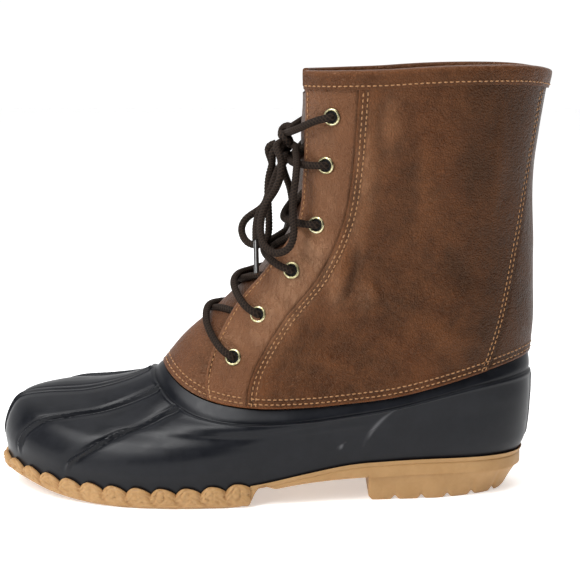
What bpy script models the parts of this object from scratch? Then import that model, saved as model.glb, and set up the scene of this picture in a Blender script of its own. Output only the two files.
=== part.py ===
"""Duck boot, left foot: a gum sole, a moulded rubber foot and a laced leather shaft.

The last's frame is used while modelling: x runs from the toe tip to the heel, y towards the
inner (medial) side, z up from the floor. An empty then carries the whole boot so that its
origin is under the middle of its box, with the toe towards -X and the outer side towards -Y.
"""
import math

import bmesh
import bpy
import numpy as np
from mathutils import Matrix, Vector

# Driving sizes, in metres
SOLE_LENGTH = 0.300
BALL_WIDTH = 0.100
LEG_WIDTH = 0.087
RUBBER_HEIGHT = 0.058      # rubber at the back, above the seat
LEG_HEIGHT = 0.215         # collar at the back, above the seat
HEEL_SEAT = 0.0213         # top of the sole under the heel
BALL_SEAT = 0.0075         # top of the sole under the ball
TOE_SEAT_RISE = 0.0075     # how much the seat rises to the toe
TOE_SPRING = 0.0105        # how much the tread rises to the toe
ARCH_HEIGHT = 0.0138       # tread side of the shank in front of the heel

# Walls, clearances and small sizes
GAP = 0.0003
RUBBER_WALL = 0.0026
LEATHER_WALL = 0.0020
QUARTER_STEP = 0.0008      # the quarter panel lies on the panels beside it
BAND_DEPTH = 0.0009        # collar band of the rubber, sunk below its body
RIB_HEIGHT = 0.0013
RIB_HALF_WIDTH = 0.0014
LIP_WALL = 0.0019          # gum wall outside the rubber round the forefoot
REAR_LIP_WALL = 0.0010
LIP_PEAK = 0.0044
LIP_MIDDLE = 0.0035
LIP_VALLEY = 0.0014
REAR_LIP = 0.0021
SCALLOPS = 12              # cobbles of the chain edge on each side, toe to waist
TREAD_DEPTH = 0.0018
TREAD_BEVEL = 0.0010
HEEL_LUGS = 5
HEEL_LUG_PITCH = 0.0150
HEEL_NOTCH_DEPTH = 0.0026
HEEL_BAND = 0.0075         # height of the sole plate that runs on over the heel block
HEEL_STEP = 0.0011         # the block is set in below the plate
HEEL_TAPER = 0.0030
HEEL_REAR_TAPER = 0.0095
CUFF_HEIGHT = 0.0090
CUFF_WALL = 0.0010
CUFF_PROUD = 0.0013
TONGUE_WALL = 0.0016
TONGUE_SINK = 0.0015       # extra depth of the tongue behind the throat of the shaft
TONGUE_LAP = 8.0           # degrees that the tongue runs on under each eyestay
INSOLE_THICKNESS = 0.0035
INSOLE_PLAY = 0.0011
EYELET_RADIUS = 0.00475
EYELET_HOLE_RADIUS = 0.0027
EYELET_BARREL_RADIUS = 0.0033
EYELET_FLANGE = 0.0010
LACE_RADIUS = 0.0021
AGLET_RADIUS = 0.0014
AGLET_LENGTH = 0.020
KNOT_RADII = (0.0052, 0.0080, 0.0066)

# Loops of the last from the feather edge up to the collar. Front and back are shares of
# SOLE_LENGTH; the half widths stand at 30, 60, 90, 120 and 150 degrees round the loop.
# They are shares of BALL_WIDTH on the foot and of LEG_WIDTH on the leg.
PLAN = (
    # name       front  back   w30   w60   w90   w120  w150
    ("feather",  0.010, 0.993, .275, .465, .415, .330, .240),
    ("bulge",    0.005, 1.005, .285, .485, .440, .356, .258),
    ("wall",     0.017, 1.009, .280, .483, .450, .372, .266),
    ("shoulder", 0.040, 1.011, .265, .455, .450, .380, .266),
    ("toe_top",  0.090, 1.012, .255, .425, .448, .384, .260),
    ("vamp",     0.167, 1.013, .250, .435, .443, .384, .250),
    ("instep",   0.240, 1.013, .265, .448, .439, .383, .235),
    ("band",     0.295, 1.013, .290, .445, .435, .380, .220),
    ("joint",    0.312, 1.012, .260, .405, .415, .365, .205),
    ("low",      0.360, 1.017, .270, .425, .443, .397, .230),
    ("bend",     0.427, 1.014, .253, .397, .420, .379, .224),
    ("ankle",    0.487, 1.011, .253, .385, .408, .368, .218),
    ("shin",     0.538, 1.007, .259, .397, .414, .379, .230),
    ("calf",     0.553, 1.010, .270, .420, .448, .408, .247),
    ("upper",    0.557, 1.020, .282, .440, .475, .431, .259),
    ("collar",   0.558, 1.032, .299, .460, .500, .454, .270),
)
# Lift of the same loops above the seat line, every 30 degrees from the front to the back.
# Foot rows are shares of RUBBER_HEIGHT. Leg rows are shares of the leather above it. The
# tilt makes the big toe's side higher than the outer side.
LIFT = (
    # name         0      30     60     90    120    150    180    tilt
    ("feather",  0.000, 0.000, 0.000, 0.000, 0.000, 0.000, 0.000, 0.000),
    ("bulge",    0.262, 0.271, 0.216, 0.224, 0.152, 0.148, 0.141, 0.017),
    ("wall",     0.498, 0.469, 0.383, 0.369, 0.274, 0.279, 0.271, 0.078),
    ("shoulder", 0.659, 0.626, 0.533, 0.471, 0.366, 0.391, 0.391, 0.155),
    ("toe_top",  0.747, 0.712, 0.652, 0.534, 0.447, 0.495, 0.503, 0.224),
    ("vamp",     0.816, 0.771, 0.703, 0.560, 0.534, 0.598, 0.616, 0.241),
    ("instep",   0.929, 0.826, 0.714, 0.566, 0.609, 0.702, 0.719, 0.190),
    ("band",     1.060, 0.857, 0.691, 0.571, 0.684, 0.795, 0.819, 0.086),
    ("joint",    1.147, 0.964, 0.781, 0.664, 0.778, 0.943, 1.000, 0.017),
    ("low",      0.166, 0.092, 0.031, -.006, 0.049, 0.113, 0.132, 0.000),
    ("bend",     0.309, 0.256, 0.183, 0.148, 0.199, 0.253, 0.272, 0.000),
    ("ankle",    0.414, 0.390, 0.330, 0.317, 0.361, 0.406, 0.425, 0.000),
    ("shin",     0.530, 0.524, 0.493, 0.499, 0.536, 0.565, 0.578, 0.000),
    ("calf",     0.697, 0.689, 0.666, 0.673, 0.696, 0.708, 0.711, 0.000),
    ("upper",    0.866, 0.861, 0.837, 0.842, 0.855, 0.858, 0.858, 0.000),
    ("collar",   1.045, 1.035, 1.011, 1.011, 1.017, 1.013, 1.000, 0.000),
)
ROW = {row[0]: float(index) for index, row in enumerate(PLAN)}
JOINT = ROW["joint"]
COLLAR = ROW["collar"]

# Seat line under the foot: shares of SOLE_LENGTH, TOE_SEAT_RISE and the heel's rise.
SEAT = (
    # x     toe   heel
    (0.000, 1.00, 0.00),
    (0.077, 0.47, 0.00),
    (0.167, 0.13, 0.00),
    (0.257, 0.00, 0.00),
    (0.367, 0.00, 0.00),
    (0.500, 0.00, 0.24),
    (0.583, 0.00, 0.58),
    (0.667, 0.00, 0.89),
    (0.747, 0.00, 1.00),
    (1.050, 0.00, 1.00),
)
# Tread line: shares of SOLE_LENGTH, TOE_SPRING and ARCH_HEIGHT. The heel block is cut in
# later, behind HEEL_BREAST.
TREAD = (
    # x     toe   arch
    (0.000, 1.00, 0.00),
    (0.053, 0.76, 0.00),
    (0.107, 0.38, 0.00),
    (0.177, 0.10, 0.00),
    (0.250, 0.00, 0.00),
    (0.433, 0.00, 0.00),
    (0.467, 0.00, 0.05),
    (0.483, 0.00, 0.15),
    (0.490, 0.00, 0.49),
    (0.533, 0.00, 0.68),
    (0.577, 0.00, 0.82),
    (0.633, 0.00, 0.93),
    (0.700, 0.00, 1.00),
)
FOREFOOT_END = 0.483
HEEL_BREAST = 0.702
SHANK_STATIONS = (0.490, 0.515, 0.550, 0.590, 0.640, 0.695)
# Middle line of the foot: shares of SOLE_LENGTH and BALL_WIDTH
CURVE = (
    # x     inwards
    (0.000, 0.080),
    (0.093, 0.065),
    (0.183, 0.045),
    (0.277, 0.015),
    (0.367, -.005),
    (0.500, -.015),
    (0.693, -.005),
    (1.050, 0.000),
)
# Lines across the leather, in degrees round the loop, for the rows from joint to collar
SEAMS = (
    # name     eyestay quarter backstay
    ("joint",  42.4,   58.1,   137.1),
    ("low",    31.0,   52.8,   140.9),
    ("bend",   25.5,   52.9,   144.9),
    ("ankle",  27.0,   57.6,   149.0),
    ("shin",   29.0,   58.4,   154.6),
    ("calf",   27.0,   59.7,   158.7),
    ("upper",  26.0,   60.0,   160.0),
    ("collar", 26.5,   60.4,   160.7),
)
# Toe ribs, in degrees round the loop, for the rows from feather to band
RIBS = (
    # name       inner outer
    ("feather",  21.0, 41.0),
    ("bulge",    22.0, 44.2),
    ("wall",     26.0, 48.4),
    ("shoulder", 29.0, 50.5),
    ("toe_top",  28.0, 50.0),
    ("vamp",     24.5, 44.0),
    ("instep",   20.0, 36.0),
    ("band",     17.0, 30.5),
)
# Eyelets from the top one down: the row they stand at, and their share of the way from the
# eyestay's front edge to the quarter seam
EYELETS = (
    (14.15, 0.60),
    (13.20, 0.53),
    (12.00, 0.50),
    (11.02, 0.52),
    (10.02, 0.53),
    (9.20, 0.50),
)
# Routes of the bow in the last's frame, in metres, chosen by hand
NEAR_LOOP = (
    (0.1618, -0.0180, 0.1881), (0.1611, -0.0220, 0.1791),
    (0.1584, -0.0210, 0.1725), (0.1540, -0.0230, 0.1661), (0.1510, -0.0240, 0.1580),
    (0.1516, -0.0280, 0.1497), (0.1541, -0.0340, 0.1440), (0.1596, -0.0380, 0.1402),
    (0.1650, -0.0390, 0.1447), (0.1682, -0.0380, 0.1538), (0.1682, -0.0365, 0.1674),
    (0.1693, -0.0370, 0.1781), (0.1704, -0.0275, 0.1895), (0.1697, -0.0165, 0.1940),
)
FAR_LOOP = (
    (0.1568, 0.0075, 0.1821), (0.1547, 0.0080, 0.1696),
    (0.1511, 0.0070, 0.1594), (0.1462, 0.0060, 0.1567), (0.1417, 0.0045, 0.1535),
    (0.1393, 0.0025, 0.1495), (0.1395, 0.0010, 0.1449), (0.1418, -0.0005, 0.1405),
    (0.1446, -0.0015, 0.1393), (0.1464, -0.0020, 0.1425), (0.1466, -0.0020, 0.1475),
    (0.1490, -0.0015, 0.1532), (0.1531, -0.0010, 0.1582), (0.1540, -0.0010, 0.1638),
    (0.1540, -0.0015, 0.1706), (0.1548, -0.0015, 0.1785), (0.1568, -0.0015, 0.1860),
)
NEAR_END = (
    (0.1618, -0.0060, 0.1855), (0.1587, -0.0105, 0.1799), (0.1556, -0.0135, 0.1707),
    (0.1528, -0.0140, 0.1648), (0.1492, -0.0150, 0.1588), (0.1478, -0.0175, 0.1512),
    (0.1479, -0.0215, 0.1449),
)
# The far end lies over the far eyestay: degrees round the loop, row and height above it
FAR_END = (
    (-15.0, 13.50, 0.0096), (-20.0, 13.20, 0.0104), (-25.0, 12.85, 0.0106),
    (-31.0, 12.45, 0.0104), (-34.5, 12.05, 0.0104), (-36.0, 11.70, 0.0104),
)
# Where the bow's cords leave the knot, as directions from its middle
KNOT_EXITS = {
    "near_start": (-0.45, -0.85, -0.20),
    "near_finish": (0.55, -0.75, -0.35),
    "far_start": (-0.90, 0.15, -0.35),
    "far_finish": (-0.70, -0.35, -0.60),
    "near_end": (0.12, -0.28, -0.95),
    "far_end": (-0.35, 0.85, -0.35),
}
KNOT_GAP = 0.0009
KNOT_ROW = 13.68
KNOT_PROUD = 0.0026


def through(table, column, x):
    """Cubic curve through a table's points, with slopes taken from their neighbours."""
    xs = np.array([row[0] for row in table], float)
    ys = np.array([row[column] for row in table], float)
    x = np.clip(np.asarray(x, float), xs[0], xs[-1])
    step = np.diff(xs)
    slope = np.diff(ys) / step
    tangent = np.empty(len(xs))
    tangent[0], tangent[-1] = slope[0], slope[-1]
    tangent[1:-1] = (slope[:-1] * step[1:] + slope[1:] * step[:-1]) / (step[1:] + step[:-1])
    i = np.clip(np.searchsorted(xs, x, side="right") - 1, 0, len(xs) - 2)
    t = (x - xs[i]) / step[i]
    return (ys[i] * (1 + 2 * t) * (1 - t) ** 2 + tangent[i] * step[i] * t * (1 - t) ** 2
            + ys[i + 1] * t * t * (3 - 2 * t) + tangent[i + 1] * step[i] * t * t * (t - 1))


def by_row(rows, column, v, first="feather"):
    """The same curve through a table whose rows are the last's loops."""
    start = ROW[first]
    numbered = [(start + k,) + tuple(row[1:]) for k, row in enumerate(rows)]
    return through(numbered, column, v)


def seat_height(x):
    """Height of the sole's top under the foot at x."""
    s = np.asarray(x) / SOLE_LENGTH
    return (BALL_SEAT + TOE_SEAT_RISE * through(SEAT, 1, s)
            + (HEEL_SEAT - BALL_SEAT) * through(SEAT, 2, s))


def tread_height(x):
    """Height of the tread at x, before grooves and the heel block."""
    s = np.asarray(x) / SOLE_LENGTH
    line = TOE_SPRING * through(TREAD, 1, s) + ARCH_HEIGHT * through(TREAD, 2, s)
    return np.maximum(line, 0.0)


def loop_series():
    """Sines for each loop's half width and cosines for its lift, fitted to the tables."""
    width_angles = np.radians([30, 60, 90, 120, 150])
    lift_angles = np.radians([0, 30, 60, 90, 120, 150, 180])
    sines = np.linalg.inv(np.sin(np.outer(width_angles, np.arange(1, 6))))
    cosines = np.linalg.inv(np.cos(np.outer(lift_angles, np.arange(0, 7))))
    widths, lifts, tilts = [], [], []
    for index, (plan, lift) in enumerate(zip(PLAN, LIFT)):
        on_leg = index > ROW["joint"]
        widths.append(sines @ (np.array(plan[3:8]) * (LEG_WIDTH if on_leg else BALL_WIDTH)))
        rise = np.array(lift[1:8])
        if on_leg:
            rise = RUBBER_HEIGHT + rise * (LEG_HEIGHT - RUBBER_HEIGHT)
        else:
            rise = rise * RUBBER_HEIGHT
        lifts.append(cosines @ rise)
        tilts.append(lift[8] * RUBBER_HEIGHT)
    return np.array(widths), np.array(lifts), np.array(tilts)


WIDTHS, LIFTS, TILTS = loop_series()


def last(theta, v):
    """Point of the last: theta in degrees from the front round the outer side, v the row.

    Along a loop x goes from front to back as a cosine, the half width is a sum of sines
    and the lift above the seat a sum of cosines, so every loop closes smoothly.
    """
    theta, v = np.broadcast_arrays(np.radians(np.asarray(theta, float)), np.asarray(v, float))
    numbers = np.arange(len(PLAN), dtype=float)

    def along(values):
        return through(list(zip(numbers, values)), 1, v)

    front = along([row[1] for row in PLAN]) * SOLE_LENGTH
    back = along([row[2] for row in PLAN]) * SOLE_LENGTH
    x = front + (back - front) * (1 - np.cos(theta)) / 2
    half = sum(along(WIDTHS[:, k]) * np.sin((k + 1) * theta) for k in range(5))
    lift = sum(along(LIFTS[:, k]) * np.cos(k * theta) for k in range(7))
    lift = lift - along(TILTS) * np.sin(theta) * ((1 + np.cos(theta)) / 2) ** 2
    middle = through(CURVE, 1, x / SOLE_LENGTH) * BALL_WIDTH
    return np.stack([x, middle - half, seat_height(x) + lift], -1)


def outward(theta, v):
    """Unit normal of the last, pointing out of the boot."""
    d_theta, d_v = 0.25, 0.02
    theta, v = np.broadcast_arrays(np.asarray(theta, float), np.asarray(v, float))
    low, high = np.maximum(v - d_v, 0.0), np.minimum(v + d_v, COLLAR)
    across = last(theta + d_theta, v) - last(theta - d_theta, v)
    up = last(theta, high) - last(theta, low)
    normal = np.cross(across, up)
    return normal / np.linalg.norm(normal, axis=-1, keepdims=True)


def proud(theta, v, height):
    """Point of the last moved out along its normal by height, or in where it is negative."""
    return last(theta, v) + outward(theta, v) * np.asarray(height, float)[..., None]


def degrees_for(length, theta, v):
    """How many degrees round the loop a length on the surface takes."""
    speed = np.linalg.norm(last(theta + 0.5, v) - last(theta - 0.5, v), axis=-1)
    return length / speed


def theta_at(x, v):
    """Angle on the outer side where loop v passes x."""
    front = last(0.0, v)[0]
    back = last(180.0, v)[0]
    return math.degrees(math.acos(np.clip(1 - 2 * (x - front) / (back - front), -1, 1)))


def row_above_seat(theta, height):
    """Row at which the wall stands height above the seat, low on the wall."""
    lift = last(theta, 1.0)[..., 2] - last(theta, 0.0)[..., 2]
    return height / lift


# Materials and objects

def material(name, colour, roughness, metallic=0.0):
    """Plain Principled material."""
    made = bpy.data.materials.new(name)
    made.use_nodes = True
    shader = made.node_tree.nodes["Principled BSDF"]
    shader.inputs["Base Color"].default_value = (*colour, 1.0)
    shader.inputs["Roughness"].default_value = roughness
    shader.inputs["Metallic"].default_value = metallic
    made.diffuse_color = (*colour, 1.0)
    return made


def clear_scene():
    for item in list(bpy.data.objects):
        bpy.data.objects.remove(item, do_unlink=True)


def place(item, collection, finish, root):
    """Link an object, give it its material and hang it under the boot's empty."""
    collection.objects.link(item)
    item.data.materials.clear()
    item.data.materials.append(finish)
    item.parent = root
    return item


def mesh_object(name, vertices, faces, crease_angle=40.0):
    """Object from vertices and faces, with doubles merged and normals pointing out."""
    mesh = bpy.data.meshes.new(name)
    mesh.from_pydata([tuple(p) for p in vertices], [], faces)
    work = bmesh.new()
    work.from_mesh(mesh)
    bmesh.ops.remove_doubles(work, verts=work.verts, dist=1e-6)
    bmesh.ops.dissolve_degenerate(work, dist=1e-7, edges=work.edges)
    bmesh.ops.recalc_face_normals(work, faces=work.faces)
    work.to_mesh(mesh)
    work.free()
    mesh.shade_smooth()
    mesh.set_sharp_from_angle(angle=math.radians(crease_angle))
    return bpy.data.objects.new(name, mesh)


def grid_faces(start, rows, columns, wrap, flip=False):
    """Quads of a grid of vertices stored row after row."""
    faces = []
    for r in range(rows - 1):
        for c in range(columns if wrap else columns - 1):
            n = (c + 1) % columns
            quad = (start + r * columns + c, start + r * columns + n,
                    start + (r + 1) * columns + n, start + (r + 1) * columns + c)
            faces.append(quad[::-1] if flip else quad)
    return faces


def shell_solid(name, outer, inner, wrap):
    """Closed wall between an outer and an inner grid that have the same columns.

    Open walls have as many inner rows as outer rows, so that their ends close too.
    """
    rows_out, columns = outer.shape[:2]
    rows_in = inner.shape[0]
    second = rows_out * columns
    faces = grid_faces(0, rows_out, columns, wrap)
    faces += grid_faces(second, rows_in, columns, wrap, flip=True)
    top_out, top_in = (rows_out - 1) * columns, second + (rows_in - 1) * columns
    for c in range(columns if wrap else columns - 1):
        n = (c + 1) % columns
        faces.append((n, c, second + c, second + n))
        faces.append((top_out + c, top_out + n, top_in + n, top_in + c))
    if not wrap:
        for c in (0, columns - 1):
            for r in range(rows_out - 1):
                quad = (r * columns + c, (r + 1) * columns + c,
                        second + (r + 1) * columns + c, second + r * columns + c)
                faces.append(quad if c == 0 else quad[::-1])
    points = np.concatenate([outer.reshape(-1, 3), inner.reshape(-1, 3)])
    return mesh_object(name, points, faces)


def stacked_rings(name, rings):
    """Closed solid from rings round the foot, capped across by pairs at the same x.

    Column j and its mirror on the other side face each other over the middle line.
    """
    count, columns = len(rings), rings[0].shape[0]
    faces = grid_faces(0, count, columns, wrap=True)
    for base in (0, (count - 1) * columns):
        for j in range(columns // 2):
            a, b = base + j, base + j + 1
            c, d = base + (columns - j - 1) % columns, base + (columns - j) % columns
            corner = []
            for index in (a, b, c, d):
                if index not in corner:
                    corner.append(index)
            if len(corner) > 2:
                faces.append(tuple(corner))
    return mesh_object(name, np.concatenate(rings), faces)


def both_sides(half):
    """Angles for a whole loop from those of the outer side, 0 to 180 degrees."""
    half = list(half)
    return np.array(half + [360.0 - t for t in half[-2:0:-1]])


# Gum sole

def sole_columns():
    """Angles of the sole's columns on one side, with their part of the tread.

    The forefoot has four columns for each cobble, evenly along the edge. Behind it come
    the shank, the heel's lugs and the rounded back.
    """
    fine = np.linspace(0.0, theta_at(FOREFOOT_END * SOLE_LENGTH, 0.0), 400)
    edge = last(fine, 0.0)
    length = np.concatenate([[0], np.cumsum(np.linalg.norm(np.diff(edge, axis=0), axis=1))])
    steps = SCALLOPS * 4
    angles = list(np.interp(np.linspace(0, length[-1], steps + 1), length, fine))
    kinds = [("forefoot", k % 4) for k in range(steps + 1)]
    for share in SHANK_STATIONS:
        angles.append(theta_at(share * SOLE_LENGTH, 0.0))
        kinds.append(("shank", 0))
    breast = HEEL_BREAST * SOLE_LENGTH
    for lug in range(HEEL_LUGS):
        for phase, share in enumerate((0.0, 0.16, 0.84)):
            kind = "block" if lug == 0 and phase == 0 else ("notch", "lug", "lug")[phase]
            angles.append(theta_at(breast + (lug + share) * HEEL_LUG_PITCH, 0.0))
            kinds.append((kind, 0))
    last_lug = theta_at(breast + HEEL_LUGS * HEEL_LUG_PITCH, 0.0)
    rear = np.linspace(last_lug, 180.0, 7)
    for k, angle in enumerate(rear):
        angles.append(float(angle))
        kinds.append(("notch" if k == 0 else "lug", 0))
    return angles, kinds


def sole_section(theta, kind, phase):
    """Heights and insets of the sole's edge at one column.

    Each entry is a height above the floor and how far the edge is set in from the sole's
    outline, from the tread up to the underside of the lip.
    """
    x = float(last(theta, 0.0)[0])
    seat = float(seat_height(x))
    if kind in ("forefoot", "shank"):
        tread = float(tread_height(x))
        if kind == "forefoot" and phase == 2:
            tread += TREAD_DEPTH
        upper = (tread + seat) / 2
        return ((tread, 0.0016), (tread + TREAD_BEVEL, 0.0004), (upper, 0.0), (seat, 0.0))
    rear = max(0.0, -math.cos(math.radians(theta)) * 3.0 - 2.0)
    taper = HEEL_TAPER + (HEEL_REAR_TAPER - HEEL_TAPER) * rear
    tread = HEEL_NOTCH_DEPTH if kind == "notch" else 0.0
    plate = seat - HEEL_BAND
    return ((tread, taper + 0.0008), (tread + TREAD_BEVEL, taper),
            (plate, HEEL_STEP), (plate + 0.0003, 0.0))


def lip_height(kind, phase):
    """How far the gum lip stands above the seat."""
    if kind == "forefoot":
        return (LIP_PEAK, LIP_MIDDLE, LIP_VALLEY, LIP_MIDDLE)[phase]
    return REAR_LIP


def make_outsole():
    half, kinds = sole_columns()
    angles = both_sides(half)
    kinds = kinds + kinds[-2:0:-1]
    rings = [np.zeros((len(angles), 3)) for _ in range(7)]
    for j, (theta, (kind, phase)) in enumerate(zip(angles, kinds)):
        wall = LIP_WALL if kind == "forefoot" else REAR_LIP_WALL
        edge = last(theta, 0.0)
        normal = outward(theta, 0.0).copy()
        normal[2] = 0.0
        normal /= np.linalg.norm(normal)
        outline = edge + normal * (GAP + wall)
        side = theta if theta <= 180 else 360 - theta
        for r, (height, inset) in enumerate(sole_section(side, kind, phase)):
            rings[r][j] = outline - normal * inset
            rings[r][j][2] = height
        row = row_above_seat(theta, lip_height(kind, phase))
        play = GAP if kind == "forefoot" else 3 * GAP
        rings[4][j] = proud(theta, row, play + wall)
        rings[5][j] = proud(theta, row, play)
        rings[6][j] = edge + normal * play
        rings[6][j][2] -= GAP
        rings[4][j][2] = rings[5][j][2]
    return stacked_rings("outsole", rings)


# Rubber foot

def rubber_columns():
    """Columns round the rubber: the ribs' lines with a column on each side of them."""
    between = [("rib", 0, 0.0), ("rib", 0, 1.0)]
    between += [("mix", 1, s) for s in (0.35, 0.7)]
    between += [("rib", 1, side) for side in (-1.0, 0.0, 1.0)]
    between += [("mix", 2, s) for s in (0.33, 0.67)]
    between += [("rib", 2, side) for side in (-1.0, 0.0, 1.0)]
    between += [("rest", 0, s) for s in np.linspace(0.07, 1.0, 16)]
    return between


def rib_line(number, v):
    """Angle of a rib at row v; rib 0 runs down the middle of the toe."""
    if number == 0:
        return 0.0
    return float(by_row(RIBS, number, min(v, ROW["band"])))


def rubber_angle(column, v):
    """Angle of a column of the rubber at row v."""
    kind, number, share = column
    if kind == "rib":
        line = rib_line(number, v)
        return line + share * float(degrees_for(RIB_HALF_WIDTH, line, v))
    if kind == "mix":
        return rib_line(number - 1, v) + (rib_line(number, v) - rib_line(number - 1, v)) * share
    start = rib_line(2, v)
    return start + (180.0 - start) * share


def make_rubber_shell():
    half = rubber_columns()
    band = ROW["band"]
    top = JOINT - 0.03
    outer_rows = [0.0, 0.42, 0.75, 1.3, 2.0, 2.6, 3.2, 3.8, 4.5, 5.2, 6.0, 6.7,
                  band - 0.06, band + 0.04, band + 0.5, top]
    inner_rows = [0.0, 0.6, 1.4, 2.4, 3.4, 4.6, 5.8, band, top]
    mirrored = half[-2:0:-1]

    def ring(v, height_of):
        near = [(rubber_angle(c, v), c) for c in half]
        far = [(360.0 - rubber_angle(c, v), c) for c in mirrored]
        angles = np.array([a for a, _ in near + far])
        heights = np.array([height_of(c, v) for _, c in near + far])
        return proud(angles, v, heights)

    def outside(column, v):
        kind, _, share = column
        on_rib = kind == "rib" and share == 0.0 and 0.5 < v < band
        if v > band:
            return -BAND_DEPTH
        return RIB_HEIGHT if on_rib else 0.0

    outer = np.array([ring(v, outside) for v in outer_rows])
    inner = np.array([ring(v, lambda c, v: -RUBBER_WALL) for v in inner_rows])
    return shell_solid("rubber_shell", outer, inner, wrap=True)


# Insole

def make_insole():
    half = [theta_at(s * SOLE_LENGTH, 0.0) for s in np.linspace(0.05, 0.95, 15)]
    angles = both_sides([0.0] + half + [180.0])
    lower = proud(angles, 0.0, -RUBBER_WALL - INSOLE_PLAY)
    seat = seat_height(lower[:, 0])
    lower[:, 2] = seat + GAP
    upper = lower.copy()
    upper[:, 2] = seat + GAP + INSOLE_THICKNESS
    return stacked_rings("insole", [lower, upper])


# Leather shaft

def seam(name, v):
    """Angle of one of the leather's lines at row v."""
    column = ("eyestay", "quarter", "backstay").index(name) + 1
    return by_row(SEAMS, column, v, first="joint")


def cuff_row(theta):
    """Row of the cuff's lower edge."""
    top = last(theta, COLLAR)[..., 2]
    below = last(theta, COLLAR - 1.0)[..., 2]
    return COLLAR - CUFF_HEIGHT / (top - below)


def leather_angles(v):
    """Angles of the leather's columns at row v, from the outer eyestay round to the inner.

    The panels are the eyestay, the quarter and the backstay; two close columns stand at
    each seam, one on either level of the step.
    """
    eyestay, quarter, backstay = (float(seam(n, v)) for n in ("eyestay", "quarter", "backstay"))
    hop = 0.5 * float(degrees_for(QUARTER_STEP, quarter, v))
    angles, on_quarter = [], []
    for s in np.linspace(0, 1, 5):
        angles.append(eyestay + (quarter - hop - eyestay) * s)
        on_quarter.append(False)
    for s in np.linspace(0, 1, 8):
        angles.append(quarter + hop + (backstay - quarter - 2 * hop) * s)
        on_quarter.append(True)
    for s in np.linspace(0, 1, 4):
        angles.append(backstay + hop + (180.0 - backstay - hop) * s)
        on_quarter.append(False)
    angles += [360.0 - t for t in angles[-2::-1]]
    on_quarter += on_quarter[-2::-1]
    return np.array(angles), np.array(on_quarter)


def make_leather_upper():
    """Open wall from the rubber to the collar; the quarter's step ends under the cuff."""
    edge = float(cuff_row(90.0))
    levels = [(v, 0.0) for v in (JOINT + 0.02, 8.5, 9.0, 9.6, 10.2, 10.8, 11.4, 12.0,
                                 12.6, 13.3, 14.0)]
    levels += [(edge, -0.025), (edge, 0.005), (COLLAR - 0.02, 0.0)]
    outer, inner = [], []
    for v, past_cuff in levels:
        angles, on_quarter = leather_angles(v)
        row = cuff_row(angles) + past_cuff if past_cuff else np.full(len(angles), v)
        step = QUARTER_STEP if v < edge or past_cuff < 0 else 0.0
        outer.append(proud(angles, row, np.where(on_quarter, step, 0.0)))
        inner.append(proud(angles, row, np.full(len(angles), -LEATHER_WALL)))
    return shell_solid("leather_upper", np.array(outer), np.array(inner), wrap=False)


def eyelet_place(number):
    """Angle and row of an eyelet on the outer side, counted from the top."""
    v, share = EYELETS[number]
    eyestay, quarter = float(seam("eyestay", v)), float(seam("quarter", v))
    return eyestay + (quarter - eyestay) * share, v


def eyelet_frame(number, outer_side):
    """Matrix with +Z out of the leather at an eyelet, at the leather's outer face."""
    theta, v = eyelet_place(number)
    if not outer_side:
        theta = 360.0 - theta
    centre = Vector(last(theta, v))
    turn = Vector(outward(theta, v)).to_track_quat("Z", "Y")
    return Matrix.Translation(centre) @ turn.to_matrix().to_4x4()


def make_hole_cutter():
    """One joined set of short rods, one through the leather at each eyelet."""
    work = bmesh.new()
    for number in range(len(EYELETS)):
        for outer_side in (True, False):
            bmesh.ops.create_cone(
                work, cap_ends=True, segments=10, radius1=EYELET_BARREL_RADIUS + 2 * GAP,
                radius2=EYELET_BARREL_RADIUS + 2 * GAP, depth=6 * LEATHER_WALL,
                matrix=eyelet_frame(number, outer_side))
    mesh = bpy.data.meshes.new("eyelet_hole_cutter")
    work.to_mesh(mesh)
    work.free()
    return bpy.data.objects.new("eyelet_hole_cutter", mesh)


def make_eyelet(number, outer_side):
    """Ring with a rounded flange on the leather and a barrel through it: a turned profile."""
    lift = 1.6 * GAP
    top = lift + EYELET_FLANGE
    bottom = -0.9 * LEATHER_WALL
    profile = [
        (EYELET_HOLE_RADIUS, bottom), (EYELET_HOLE_RADIUS, top * 0.75),
        ((EYELET_HOLE_RADIUS + EYELET_RADIUS) / 2, top), (EYELET_RADIUS, lift),
        (EYELET_BARREL_RADIUS, lift),
        (EYELET_BARREL_RADIUS, bottom),
    ]
    segments = 12
    angles = np.linspace(0, 2 * math.pi, segments, endpoint=False)
    points = [(r * math.cos(a), r * math.sin(a), z) for a in angles for r, z in profile]
    size = len(profile)
    faces = []
    for a in range(segments):
        for p in range(size):
            b, q = (a + 1) % segments, (p + 1) % size
            faces.append((a * size + p, b * size + p, b * size + q, a * size + q))
    side = "outer" if outer_side else "inner"
    eyelet = mesh_object(f"eyelet_{side}_{number + 1}", np.array(points), faces)
    eyelet.matrix_world = eyelet_frame(number, outer_side)
    return eyelet


# Cuff and tongue

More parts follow.
